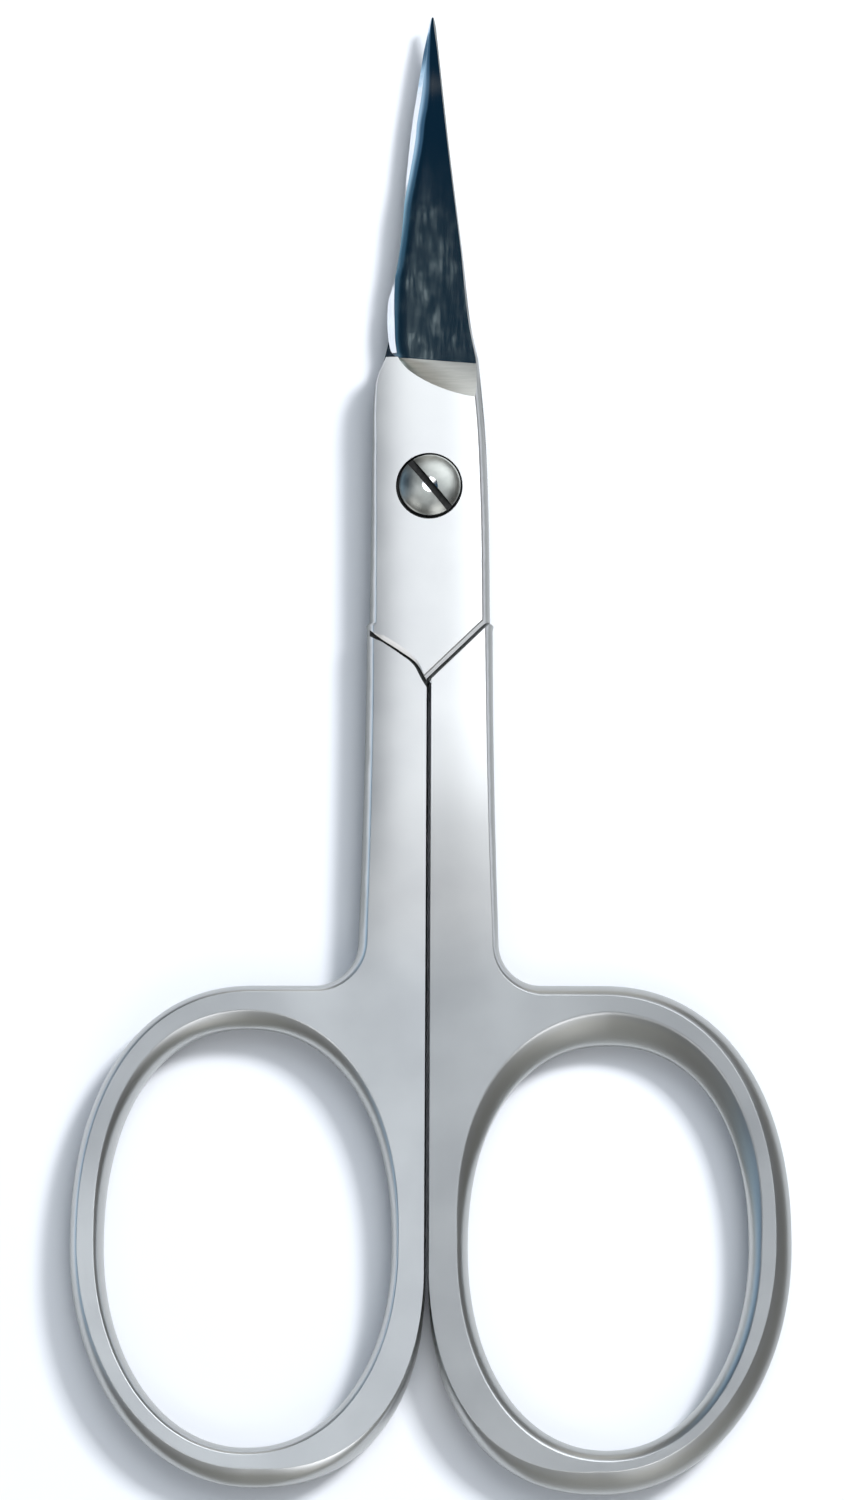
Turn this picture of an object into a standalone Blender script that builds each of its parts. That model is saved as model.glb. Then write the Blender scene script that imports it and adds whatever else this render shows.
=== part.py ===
"""Nail scissors: two crossed halves that turn on one slotted screw.

They lie flat with the tips towards +Y and the screw head up. The origin is on the pivot axis, at the back.
Both halves come from one die, with finger rings ground to their own sizes. The front half keeps its outer
face up, the back one is turned over about Y.
Lengths are in metres. A value named share or shares is a part of the size named beside it.
"""

import math

import bmesh
import bpy
import numpy as np

# Thickness of the two layers, and the running gaps between the halves
THICKNESS = 0.0032
LAP_GAP = 0.0001
CENTRE_GAP = 0.00022

# Blade, from the pivot to the tip
BLADE_LENGTH = 0.0302
ROOT_DISTANCE = 0.0082
ROOT_HALF_WIDTH = 0.00298
TIP_RADIUS = 0.00016
TIP_TURN = math.radians(12)
SPINE_HEIGHT_ROOT = 0.00115
SPINE_HEIGHT_TIP = 0.0003
SPINE_TAPER = 2.6
BEVEL_HEIGHT = 0.00053
EDGE_LAND = 0.00006
ROLL_WIDTH = 0.0005
FACET_TURN = math.radians(9)
HOLLOW_DEPTH = 0.00004
SPINE_CHAMFER_WIDTH = 0.00008
SPINE_CHAMFER_HEIGHT = 0.00012
SPINE_SHARES = ((0.0, 1.0), (0.04, 0.925), (0.32, 0.645), (0.61, 0.37), (0.9, 0.13))
EDGE_SHARES = ((0.9, 0.185), (0.757, 0.345), (0.683, 0.427), (0.609, 0.486), (0.52, 0.547), (0.21, 0.828))
HEEL_SHARES = ((0.17, 0.912), (0.14, 0.926), (0.09, 0.923), (0.054, 0.895), (0.025, 0.84), (0.006, 0.7))

# Ground faces: inner line of the bevel, that line's height and the fall of the roll beside it, by share along
FACET_SHARES = ((0.9, 0.118), (0.757, 0.241), (0.683, 0.323), (0.645, 0.345), (0.562, 0.44), (0.479, 0.548))
FACET_FOOT_SHARES = ((0.316, 0.708), (0.236, 0.768), (0.15, 0.782), (0.1, 0.771), (0.05, 0.755), (0.0, 0.7))
BEVEL_SHARES = ((0.0, 1.0), (0.3, 0.9), (0.6, 0.79), (0.757, 0.74), (0.83, 0.4), (0.9, 0.27), (1.0, 0.16))
ROLL_SHARES = ((0.0, 0.17), (0.32, 0.3), (0.5, 0.42), (0.68, 0.48), (0.8, 0.4), (1.0, 0.2))
FACET_ROW_SHARES = (1.0, 0.9, 0.83, 0.757, 0.683, 0.645, 0.562, 0.479, 0.398, 0.316, 0.236, 0.19, 0.15, 0.1, 0.05)
FACET_COLUMN_SHARES = (0.0, 0.02, 0.03, 0.06, 0.11, 0.2, 0.32, 0.5, 0.7, 0.86, 1.0)
BORDER_COLUMNS = 4

# Runout, where the ground facet rises to the face of the box
RUNOUT_LENGTH = 0.0022
RUNOUT_SLANT = 0.0005
RUNOUT_LIP = 0.00002
RUNOUT_START = 0.00008
RUNOUT_FULLNESS = 1.7
RUNOUT_RISE = 1.4
RUNOUT_LEVEL_SHARES = (0.0, 0.3, 0.6, 0.85, 1.0, 1.25)

# Box, the lapped middle that the screw passes through
BOX_HALF_WIDTH = 0.00376
BOX_CORNER_HALF_WIDTH = 0.00283
BOX_SIDE_SHARES = ((0.963, 0.47), (0.894, 0.77), (0.856, 0.86))
BOX_BACK_SHARES = ((0.905, 0.92), (0.955, 0.84), (0.973, 0.68), (0.985, 0.4), (1.0, 0.06))
NOTCH_SHARE = 0.68

# Shoulders, the V below the box where each half goes from one layer to two
SHOULDER_TOP = 0.00877
SHOULDER_DEPTH = 0.0124
SHOULDER_GAP = 0.00014
SHOULDER_CHAMFER = 0.0003
SHOULDER_STEP = 0.00022
GROOVE_WIDTH = 0.00032
GROOVE_DEPTH = 0.00024
GROOVE_END_WIDTH = 0.0007
GROOVE_SHARES = ((-0.06, -0.12), (0.037, 0.014), (0.22, 0.317), (0.487, 0.523), (0.888, 0.8), (1.25, 1.17))

# Shank
SHANK_HALF_WIDTH = 0.00393
SHANK_FOOT_HALF_WIDTH = 0.00436
SHANK_SHARES = ((1.0, 0.0), (1.008, 0.2), (1.06, 0.7))
SHANK_FILLET = 0.0027

# Finger rings and their holes, with the levels and centres that both halves share
RING_TOP = 0.03137
RING_MIDDLE = 0.0475
RING_CENTRE = 0.0107
RING_TANGENT = 0.0495
HOLE_CENTRE = 0.01115

# Reach, bottom and walls of the front half's ring, the slimmer one
FRONT_RING_REACH = 0.02212
FRONT_RING_BOTTOM = 0.06242
FRONT_WALL_SIDE = 0.00206
FRONT_WALL_INNER = 0.00208
FRONT_WALL_TOP = 0.00271
FRONT_WALL_BOTTOM = 0.00244
FRONT_RING = {
    "reach": FRONT_RING_REACH,
    "bottom": FRONT_RING_BOTTOM,
    "wall_side": FRONT_WALL_SIDE,
    "wall_inner": FRONT_WALL_INNER,
    "wall_top": FRONT_WALL_TOP,
    "wall_bottom": FRONT_WALL_BOTTOM,
}

# The same of the back half's ring
BACK_RING_REACH = 0.02251
BACK_RING_BOTTOM = 0.06278
BACK_WALL_SIDE = 0.00265
BACK_WALL_INNER = 0.00241
BACK_WALL_TOP = 0.00365
BACK_WALL_BOTTOM = 0.00268
BACK_RING = {
    "reach": BACK_RING_REACH,
    "bottom": BACK_RING_BOTTOM,
    "wall_side": BACK_WALL_SIDE,
    "wall_inner": BACK_WALL_INNER,
    "wall_top": BACK_WALL_TOP,
    "wall_bottom": BACK_WALL_BOTTOM,
}

# Fullness of each quarter of the ring and hole: 2 is an ellipse, more is squarer
RING_OUTER_FULLNESS = 2.24
RING_LOWER_FULLNESS = 2.05
RING_INNER_FULLNESS = 2.3
HOLE_FULLNESS = (2.2, 2.25, 2.06, 2.15)

# Rounded bands between the side walls and the outer face
BAND_OUTER_SHANK = 0.0006
BAND_OUTER_TOP = 0.0005
BAND_OUTER_SIDE = 0.0005
BAND_OUTER_END = 0.0011
BAND_OUTER_HOLE_INNER = 0.00045
BAND_OUTER_HOLE_TOP = 0.00105
BAND_OUTER_HOLE_SIDE = 0.00052
BAND_OUTER_HOLE_BOTTOM = 0.00047

# Rounded bands between the side walls and the lapped face
BAND_LAPPED_SHANK = 0.00034
BAND_LAPPED_TOP = 0.0007
BAND_LAPPED_SIDE = 0.00097
BAND_LAPPED_END = 0.00134
BAND_LAPPED_HOLE_INNER = 0.00065
BAND_LAPPED_HOLE_TOP = 0.00186
BAND_LAPPED_HOLE_SIDE = 0.00078
BAND_LAPPED_HOLE_BOTTOM = 0.00072

# Bands elsewhere, the turn of every band, and the part of a wall that its two bands may take
BAND_BOX = 0.0003
BAND_BLADE = 0.00005
BAND_CENTRE = 0.00004
BAND_TURN = math.radians(66)
BAND_WALL_SHARE = 0.9

# Pivot screw
HEAD_RADIUS = 0.00194
HEAD_RIM_BELOW_FACE = 0.0001
HEAD_DOME_HEIGHT = 0.00036
HEAD_BEVEL = 0.00008
SCREW_RADIUS = 0.00125
THREAD_RADIUS = 0.0011
END_BEVEL = 0.0001
SLOT_WIDTH = 0.00055
SLOT_DEPTH = 0.00042
SLOT_TURN = math.radians(-50)
RECESS_DEPTH = 0.0005
RUNNING_CLEARANCE = 0.00008
SEAT_GAP = 0.00006
OVERRUN = 0.001
SIDE_OVERRUN = 0.0004

# Counts of facets
BAND_STEPS = 3
RING_STEPS = 15
HOLE_STEPS = 16
CURVE_STEPS = 4
FILLET_STEPS = 8
ROUND_STEPS = 48

# Turn under which a corner counts as smooth, part of a small size under which points are one, decimals kept
CORNER_TURN = math.radians(12)
DOUBLE_SHARE = 0.05
DECIMALS = 12

LAP_PLANE = THICKNESS / 2
FRONT_LAP = LAP_PLANE + LAP_GAP / 2
CENTRE_X = -CENTRE_GAP / 2


def clear_scene():
    """Remove every object of the open file."""
    for item in list(bpy.data.objects):
        bpy.data.objects.remove(item, do_unlink=True)


def steel(name, colour, roughness):
    """A bare steel material."""
    material = bpy.data.materials.new(name)
    material.use_nodes = True
    shader = material.node_tree.nodes["Principled BSDF"]
    shader.inputs["Base Color"].default_value = (*colour, 1.0)
    shader.inputs["Metallic"].default_value = 1.0
    shader.inputs["Roughness"].default_value = roughness
    return material


def link_mesh(name, bm, material=None, parent=None, cutter=False):
    """Turn a bmesh into an object, facing out; a cutter is hidden from the model."""
    bmesh.ops.recalc_face_normals(bm, faces=bm.faces)
    mesh = bpy.data.meshes.new(name)
    bm.to_mesh(mesh)
    bm.free()
    item = bpy.data.objects.new(name, mesh)
    bpy.context.scene.collection.objects.link(item)
    item.parent = parent
    if material is not None:
        mesh.materials.append(material)
    if cutter:
        item.hide_render = True
        item.display_type = "WIRE"
    return item


def subtract(item, cutter):
    """Cut one hidden solid out of an object."""
    boolean = item.modifiers.new(cutter.name, "BOOLEAN")
    boolean.operation = "DIFFERENCE"
    boolean.solver = "EXACT"
    boolean.object = cutter


def curve_through(points, steps):
    """A smooth curve through the points, with so many steps between each two."""
    knots = np.asarray(points, float)
    chords = np.linalg.norm(np.diff(knots, axis=0), axis=1)
    slopes = np.gradient(knots, np.concatenate([[0.0], np.cumsum(chords)]), axis=0)
    share = np.linspace(0.0, 1.0, steps, endpoint=False)[:, None]
    runs = []
    for start, end, chord, leave, arrive in zip(knots, knots[1:], chords, slopes, slopes[1:]):
        bend = 3 * (end - start) - chord * (2 * leave + arrive)
        twist = 2 * (start - end) + chord * (leave + arrive)
        runs.append(start + chord * leave * share + bend * share**2 + twist * share**3)
    return np.vstack([*runs, knots[-1:]])


def quarter(corner, reach, fullness, first_quarter, steps):
    """A quarter of a superellipse about corner, anticlockwise, from quarter turn number first_quarter."""
    angle = (first_quarter + np.linspace(0.0, 1.0, steps + 1)) * math.pi / 2
    wave = np.round(np.column_stack([np.cos(angle), np.sin(angle)]), DECIMALS)
    return np.asarray(corner) + np.asarray(reach) * np.sign(wave) * np.abs(wave) ** (2 / fullness)


def blade_point(along_share, width_share, side):
    """A point of the blade: a share of the way from root to tip, and of its half width at the root."""
    y = ROOT_DISTANCE + along_share * (BLADE_LENGTH - ROOT_DISTANCE)
    return side * width_share * ROOT_HALF_WIDTH, y


def box_point(width_share, along_share, side):
    """A point of the box side: a share of its half width, and of the way from the shoulder to the root."""
    y = -SHOULDER_TOP + along_share * (ROOT_DISTANCE + SHOULDER_TOP)
    return side * width_share * BOX_HALF_WIDTH, y


def shoulder_y(x):
    """Height of the straight shoulder line at a distance x from the centre line."""
    return -SHOULDER_DEPTH + abs(x) * (SHOULDER_DEPTH - SHOULDER_TOP) / BOX_HALF_WIDTH


def fitted(band, partner, wall):
    """The band, narrowed where it and its partner across the wall would take too much of the wall."""
    return band * min(1.0, BAND_WALL_SHARE * wall / (band + partner))


def outline_segments(ring):
    """The forging's plan, anticlockwise, as stretches of (points, outer band, lapped band).

    A band is the inward reach of the rounding at the start and the end of its stretch.
    """
    slope = (SHOULDER_DEPTH - SHOULDER_TOP) / BOX_HALF_WIDTH
    raise_edge = SHOULDER_GAP * math.hypot(1.0, slope)
    apex = (CENTRE_X, -SHOULDER_DEPTH + slope * CENTRE_X + raise_edge)
    corner = (BOX_HALF_WIDTH, -SHOULDER_TOP + raise_edge)
    tip_centre = BLADE_LENGTH - TIP_RADIUS
    shank_run = RING_TOP - SHANK_FILLET - SHOULDER_TOP - SHOULDER_STEP
    root_notch = (-NOTCH_SHARE * ROOT_HALF_WIDTH, ROOT_DISTANCE)
    shank_top = -SHOULDER_TOP - SHOULDER_STEP

    centre = [(CENTRE_X, -RING_TANGENT), (CENTRE_X, -(RING_TANGENT + SHOULDER_DEPTH) / 2), apex]
    root = (ROOT_HALF_WIDTH, ROOT_DISTANCE)
    box_side = curve_through([corner, *(box_point(w, a, 1) for w, a in BOX_SIDE_SHARES), root], CURVE_STEPS)
    spine = curve_through([blade_point(a, w, 1) for a, w in SPINE_SHARES], CURVE_STEPS)
    turn = np.linspace(TIP_TURN, math.pi - TIP_TURN, FILLET_STEPS)
    tip = np.column_stack([TIP_RADIUS * np.cos(turn), tip_centre + TIP_RADIUS * np.sin(turn)])
    edge = curve_through([blade_point(a, w, -1) for a, w in EDGE_SHARES + HEEL_SHARES], CURVE_STEPS)
    box_corner = (-BOX_CORNER_HALF_WIDTH, ROOT_DISTANCE - RUNOUT_LIP)
    box_back = curve_through([box_corner, *(box_point(w, a, -1) for w, a in BOX_BACK_SHARES)], CURVE_STEPS)
    step = [
        (-BOX_HALF_WIDTH, -SHOULDER_TOP + SHOULDER_STEP),
        (-BOX_HALF_WIDTH - SHOULDER_STEP, -SHOULDER_TOP),
    ]
    shank = curve_through(
        [(-w * SHANK_HALF_WIDTH, shank_top - a * shank_run) for w, a in SHANK_SHARES]
        + [(-SHANK_FOOT_HALF_WIDTH, -RING_TOP + SHANK_FILLET)],
        CURVE_STEPS,
    )
    turn = np.linspace(0.0, -math.pi / 2, FILLET_STEPS)
    fillet = np.column_stack(
        [
            -SHANK_FOOT_HALF_WIDTH - SHANK_FILLET + SHANK_FILLET * np.cos(turn),
            -RING_TOP + SHANK_FILLET + SHANK_FILLET * np.sin(turn),
        ]
    )
    outer_reach = (ring["reach"] - RING_CENTRE, RING_MIDDLE - RING_TOP)
    lower_reach = (ring["reach"] - RING_CENTRE, ring["bottom"] - RING_MIDDLE)
    inner_reach = (RING_CENTRE + CENTRE_X, ring["bottom"] - RING_TANGENT)
    ring_outer = quarter((-RING_CENTRE, -RING_MIDDLE), outer_reach, RING_OUTER_FULLNESS, 1, RING_STEPS)
    ring_lower = quarter((-RING_CENTRE, -RING_MIDDLE), lower_reach, RING_LOWER_FULLNESS, 2, RING_STEPS)
    ring_inner = quarter((-RING_CENTRE, -RING_TANGENT), inner_reach, RING_INNER_FULLNESS, 3, RING_STEPS)

    outer_side = fitted(BAND_OUTER_SIDE, BAND_OUTER_HOLE_SIDE, ring["wall_side"])
    lapped_side = fitted(BAND_LAPPED_SIDE, BAND_LAPPED_HOLE_SIDE, ring["wall_side"])
    outer_end = fitted(BAND_OUTER_END, BAND_OUTER_HOLE_BOTTOM, ring["wall_bottom"])
    lapped_end = fitted(BAND_LAPPED_END, BAND_LAPPED_HOLE_BOTTOM, ring["wall_bottom"])
    plain = (BAND_CENTRE, BAND_CENTRE)
    blade = (BAND_BLADE, BAND_BLADE)
    box = (BAND_BOX, BAND_BOX)
    return (
        (centre, plain, plain),
        ([apex, corner], (SHOULDER_CHAMFER, SHOULDER_CHAMFER), plain),
        (box_side, box, box),
        (spine, (BAND_BOX, BAND_BLADE), (BAND_BOX, BAND_BLADE)),
        (tip, blade, blade),
        (edge, blade, blade),
        ([root_notch, box_corner], blade, blade),
        (box_back, (BAND_BLADE, BAND_BOX), (BAND_BLADE, BAND_BOX)),
        (step, box, box),
        (shank, (BAND_BOX, BAND_OUTER_SHANK), (BAND_BOX, BAND_LAPPED_SHANK)),
        (fillet, (BAND_OUTER_SHANK, BAND_OUTER_TOP), (BAND_LAPPED_SHANK, BAND_LAPPED_TOP)),
        (ring_outer, (BAND_OUTER_TOP, outer_side), (BAND_LAPPED_TOP, lapped_side)),
        (ring_lower, (outer_side, outer_end), (lapped_side, lapped_end)),
        (ring_inner, (outer_end, BAND_CENTRE), (lapped_end, BAND_CENTRE)),
    )


def join_segments(segments):
    """One closed loop of points, with the two bands of the edge that leaves each point."""
    points, outer, lapped = [], [], []
    for stretch, outer_ends, lapped_ends in segments:
        stretch = np.asarray(stretch, float)
        if points and np.linalg.norm(points[-1][-1] - stretch[0]) < DOUBLE_SHARE * TIP_RADIUS:
            stretch = stretch[1:]
        share = np.linspace(0.0, 1.0, len(stretch))
        points.append(stretch)
        outer.append(outer_ends[0] + share * (outer_ends[1] - outer_ends[0]))
        lapped.append(lapped_ends[0] + share * (lapped_ends[1] - lapped_ends[0]))
    points = np.vstack(points)
    if np.linalg.norm(points[-1] - points[0]) < DOUBLE_SHARE * TIP_RADIUS:
        points = points[:-1]
    return points, np.concatenate(outer)[: len(points)], np.concatenate(lapped)[: len(points)]


def inset_loop(points, bands):
    """Move each point inward so that the edges beside it lie at their own bands; corners stay mitred."""
    ahead = np.roll(points, -1, axis=0) - points
    ahead /= np.linalg.norm(ahead, axis=1)[:, None]
    normal = np.column_stack([-ahead[:, 1], ahead[:, 0]])
    before = np.roll(normal, 1, axis=0)
    band_before = np.roll(bands, 1)
    cross = before[:, 0] * normal[:, 1] - before[:, 1] * normal[:, 0]
    gentle = np.abs(cross) < math.sin(CORNER_TURN)
    safe = np.where(gentle, 1.0, cross)
    mitre = np.column_stack(
        [
            (band_before * normal[:, 1] - bands * before[:, 1]) / safe,
            (bands * before[:, 0] - band_before * normal[:, 0]) / safe,
        ]
    )
    middle = before + normal
    middle /= np.linalg.norm(middle, axis=1)[:, None]
    smooth = middle * ((bands + band_before) / 2)[:, None]
    return points + np.where(gentle[:, None], smooth, mitre)


def band_levels(extend):
    """Shares (inward reach, height from the middle plane) of the rounding, from middle to face."""
    turn = np.linspace(0.0, BAND_TURN, BAND_STEPS + 1)
    inward = (1 - np.cos(turn)) / (1 - math.cos(BAND_TURN))
    height = np.sin(turn) / math.sin(BAND_TURN)
    levels = np.column_stack([inward, height])
    if extend:
        reach = OVERRUN / THICKNESS
        step = levels[-1] - levels[-2]
        levels = np.vstack([levels, levels[-1] + step / step[1] * reach])
    return levels


def banded_solid(points, outer, lapped, extend):
    """A solid with the loop at its middle plane and rounded bands up and down.

    With extend the last slopes run on past the faces, as a cutter needs.
    """
    levels = band_levels(extend)
    loops = []
    for inward, height in levels[:0:-1]:
        loops.append((inset_loop(points, lapped * inward), LAP_PLANE * (1 - height)))
    for inward, height in levels:
        loops.append((inset_loop(points, outer * inward), LAP_PLANE * (1 + height)))
    return stacked_loops(loops)


def stacked_loops(loops):
    """Join loops of equal length, each at its own height, into a closed solid."""
    bm = bmesh.new()
    rows = [[bm.verts.new((x, y, z)) for x, y in loop] for loop, z in loops]
    for low, high in zip(rows, rows[1:]):
        for i in range(len(low)):
            j = (i + 1) % len(low)
            bm.faces.new((low[i], low[j], high[j], high[i]))
    bm.faces.new(list(reversed(rows[0])))
    bm.faces.new(rows[-1])
    return bm


def grid_solid(grid, top):
    """A closed solid whose underside is the grid of points and whose top is flat at the height top."""
    bm = bmesh.new()
    low = [[bm.verts.new(point) for point in row] for row in grid]
    high = [[bm.verts.new((point[0], point[1], top)) for point in row] for row in grid]
    rows, columns = len(grid), len(grid[0])
    for i in range(rows - 1):
        for j in range(columns - 1):
            bm.faces.new((low[i][j], low[i][j + 1], low[i + 1][j + 1], low[i + 1][j]))
            bm.faces.new((high[i][j], high[i + 1][j], high[i + 1][j + 1], high[i][j + 1]))
    for i in range(rows - 1):
        for j in (0, columns - 1):
            bm.faces.new((low[i][j], low[i + 1][j], high[i + 1][j], high[i][j]))
    for j in range(columns - 1):
        for i in (0, rows - 1):
            bm.faces.new((low[i][j], low[i][j + 1], high[i][j + 1], high[i][j]))
    return bm


def ring_hole(ring):
    """The finger hole as a solid: narrowest at the middle plane, flared to both faces."""
    side = ring["reach"] - ring["wall_side"]
    inner = ring["wall_inner"] - CENTRE_X
    top = RING_TOP + ring["wall_top"]
    bottom = ring["bottom"] - ring["wall_bottom"]
    reaches = (
        (HOLE_CENTRE - inner, RING_MIDDLE - top),
        (side - HOLE_CENTRE, RING_MIDDLE - top),
        (side - HOLE_CENTRE, bottom - RING_MIDDLE),
        (HOLE_CENTRE - inner, bottom - RING_MIDDLE),
    )
    outer_inner = fitted(BAND_OUTER_HOLE_INNER, BAND_CENTRE, ring["wall_inner"])
    outer_top = fitted(BAND_OUTER_HOLE_TOP, BAND_OUTER_TOP, ring["wall_top"])
    outer_side = fitted(BAND_OUTER_HOLE_SIDE, BAND_OUTER_SIDE, ring["wall_side"])
    outer_bottom = fitted(BAND_OUTER_HOLE_BOTTOM, BAND_OUTER_END, ring["wall_bottom"])
    lapped_inner = fitted(BAND_LAPPED_HOLE_INNER, BAND_CENTRE, ring["wall_inner"])
    lapped_top = fitted(BAND_LAPPED_HOLE_TOP, BAND_LAPPED_TOP, ring["wall_top"])
    lapped_side = fitted(BAND_LAPPED_HOLE_SIDE, BAND_LAPPED_SIDE, ring["wall_side"])
    lapped_bottom = fitted(BAND_LAPPED_HOLE_BOTTOM, BAND_LAPPED_END, ring["wall_bottom"])
    outer_bands = (outer_inner, outer_top, outer_side, outer_bottom, outer_inner)
    lapped_bands = (lapped_inner, lapped_top, lapped_side, lapped_bottom, lapped_inner)
    centre = (-HOLE_CENTRE, -RING_MIDDLE)
    segments = []
    for number, reach in enumerate(reaches):
        points = quarter(centre, reach, HOLE_FULLNESS[number], number, HOLE_STEPS)
        outer = (-outer_bands[number], -outer_bands[number + 1])
        lapped = (-lapped_bands[number], -lapped_bands[number + 1])
        segments.append((points, outer, lapped))
    return banded_solid(*join_segments(segments), extend=True)


def lap_recess():
    """Everything below the lap plane and above the shoulder, which the other half needs."""
    wide = BOX_HALF_WIDTH + SHOULDER_STEP + OVERRUN
    outline = [
        (-wide, shoulder_y(wide)),
        (0.0, -SHOULDER_DEPTH),
        (wide, -SHOULDER_DEPTH),
        (wide, BLADE_LENGTH + OVERRUN),
        (-wide, BLADE_LENGTH + OVERRUN),
    ]
    return stacked_loops([(outline, -OVERRUN), (outline, FRONT_LAP)])


def facet_row(along_share):
    """One row across the ground blade, from past the edge to past the spine, as (x, height over the lap).

    The bevel climbs from the edge to the facet's border. The facet rolls over beside it and climbs on.
    """
    edge = -blade_width(EDGE_SHARES + HEEL_SHARES, along_share)
    spine = blade_width(SPINE_SHARES, along_share)
    chamfer = min(SPINE_CHAMFER_WIDTH, spine / 2)
    facet = max(-blade_width(FACET_SHARES + FACET_FOOT_SHARES, along_share), edge + EDGE_LAND)
    width = spine - chamfer - facet
    roll = min(ROLL_WIDTH, width / 2)
    bevel_top = BEVEL_HEIGHT * share_at(BEVEL_SHARES, along_share)
    roll_top = bevel_top + roll * share_at(ROLL_SHARES, along_share)
    spine_top = SPINE_HEIGHT_TIP + (SPINE_HEIGHT_ROOT - SPINE_HEIGHT_TIP) * (1 - along_share**SPINE_TAPER)
    spine_top = min(spine_top, roll_top + width * math.tan(FACET_TURN))
    row = [(edge - SIDE_OVERRUN, EDGE_LAND - SIDE_OVERRUN), (edge, EDGE_LAND)]
    for share in FACET_COLUMN_SHARES:
        fall = (roll_top - bevel_top) * max(1 - share * width / roll, 0.0) ** 2
        hollow = 4 * HOLLOW_DEPTH * share * (1 - share) * (1 - along_share)
        row.append((facet + share * width, roll_top + share * (spine_top - roll_top) - fall - hollow))
    shoulder = spine_top - SPINE_CHAMFER_HEIGHT
    row += [(spine, shoulder), (spine + SIDE_OVERRUN, shoulder - SIDE_OVERRUN)]
    return row


def share_at(shares, along_share):
    """The share that a table of (share along, share) gives at one place."""
    table = sorted(shares)
    return float(np.interp(along_share, [a for a, _ in table], [w for _, w in table]))


def blade_width(shares, along_share):
    """Half width of the blade read from a table of shares, drawn in to almost nothing at the tip."""
    return ROOT_HALF_WIDTH * share_at((*shares, (1.0, TIP_RADIUS / ROOT_HALF_WIDTH / 2)), along_share)


def grinding_cut():
    """What the wheel takes off the blade: bevel, hollow facet, spine chamfer and the runout at the box."""
    rows = [[(x, BLADE_LENGTH + OVERRUN, FRONT_LAP + z) for x, z in facet_row(1.0)]]
    for along_share in FACET_ROW_SHARES:
        y = ROOT_DISTANCE + along_share * (BLADE_LENGTH - ROOT_DISTANCE)
        rows.append([(x, y, FRONT_LAP + z) for x, z in facet_row(along_share)])
    root = facet_row(0.0)
    left, right = root[2][0], root[-2][0]
    for level in RUNOUT_LEVEL_SHARES:
        row = []
        for number, (x, z) in enumerate(root):
            share = min(max((x - left) / (right - left), 0.0), 1.0)
            line = ROOT_DISTANCE + RUNOUT_START - RUNOUT_SLANT * share
            run = RUNOUT_LENGTH * (1 - (1 - share) ** RUNOUT_FULLNESS) ** (1 / RUNOUT_FULLNESS)
            if number < BORDER_COLUMNS:
                run = RUNOUT_LIP
            foot = FRONT_LAP + max(z, EDGE_LAND)
            row.append((x, line - level * run, foot + (THICKNESS - foot) * level**RUNOUT_RISE))
        rows.append(row)
    return grid_solid(rows, THICKNESS + OVERRUN)


def shoulder_groove():
    """The shallow groove on the outer face that carries the V across the forging's own shank."""
    knots = [
        (-x * BOX_HALF_WIDTH, -SHOULDER_DEPTH + y * (SHOULDER_DEPTH - SHOULDER_TOP)) for x, y in GROOVE_SHARES
    ]
    path = curve_through(knots, CURVE_STEPS)
    ahead = np.gradient(path, axis=0)
    ahead /= np.linalg.norm(ahead, axis=1)[:, None]
    normal = np.column_stack([-ahead[:, 1], ahead[:, 0]])
    share = np.linspace(0.0, 1.0, len(path))[:, None] ** 3
    half = (GROOVE_WIDTH + share * (GROOVE_END_WIDTH - GROOVE_WIDTH)) / 2
    spread = (GROOVE_DEPTH + OVERRUN) / GROOVE_DEPTH
    bm = bmesh.new()
    rows = []
    for point, side in zip(path, normal * half * spread):
        corners = (
            (*(point + side), THICKNESS + OVERRUN),
            (*(point - side), THICKNESS + OVERRUN),
            (*point, THICKNESS - GROOVE_DEPTH),
        )
        rows.append([bm.verts.new(corner) for corner in corners])
    for start, end in zip(rows, rows[1:]):
        for i in range(3):
            j = (i + 1) % 3
            bm.faces.new((start[i], start[j], end[j], end[i]))
    bm.faces.new(rows[0])
    bm.faces.new(rows[-1])
    return bm


def turned(profile, steps):
    """Turn a profile of (radius, height) about Z; points on the axis close it."""
    bm = bmesh.new()
    verts = [bm.verts.new((radius, 0.0, height)) for radius, height in profile]
    edges = [bm.edges.new(pair) for pair in zip(verts, verts[1:])]
    bmesh.ops.spin(
        bm, geom=verts + edges, cent=(0, 0, 0), axis=(0, 0, 1), dvec=(0, 0, 0), angle=2 * math.pi, steps=steps
    )
    bmesh.ops.remove_doubles(bm, verts=bm.verts, dist=DOUBLE_SHARE**2 * END_BEVEL)
    return bm


def front_bore():
    """The screw's running bore through the front half, with the recess for its head."""
    bore = SCREW_RADIUS + RUNNING_CLEARANCE
    recess = HEAD_RADIUS + RUNNING_CLEARANCE
    floor = THICKNESS - RECESS_DEPTH
    top = THICKNESS + OVERRUN
    profile = [
        (0.0, -OVERRUN),
        (bore, -OVERRUN),
        (bore, floor),
        (recess, floor),
        (recess, top),
        (0.0, top),
    ]
    return turned(profile, ROUND_STEPS)


def back_bore():
    """The tapped hole in the back half, as a plain bore."""
    bore = THREAD_RADIUS + RUNNING_CLEARANCE
    top = THICKNESS + OVERRUN
    return turned([(0.0, -OVERRUN), (bore, -OVERRUN), (bore, top), (0.0, top)], ROUND_STEPS)


def forging(name, ring, bore, material, parent):
    """One half: the banded blank less its hole, lap recess, ground blade, groove and bore."""
    blank = banded_solid(*join_segments(outline_segments(ring)), extend=False)
    half = link_mesh(name, blank, material, parent)
    cuts = (
        ("hole", ring_hole(ring)),
        ("recess", lap_recess()),
        ("grinding", grinding_cut()),
        ("groove", shoulder_groove()),
        ("bore", bore),
    )
    for label, bm in cuts:
        subtract(half, link_mesh(f"{name}_{label}_cutter", bm, parent=parent, cutter=True))
    half.data.shade_smooth()
    half.data.set_sharp_from_angle(angle=math.radians(20))
    return half


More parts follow.
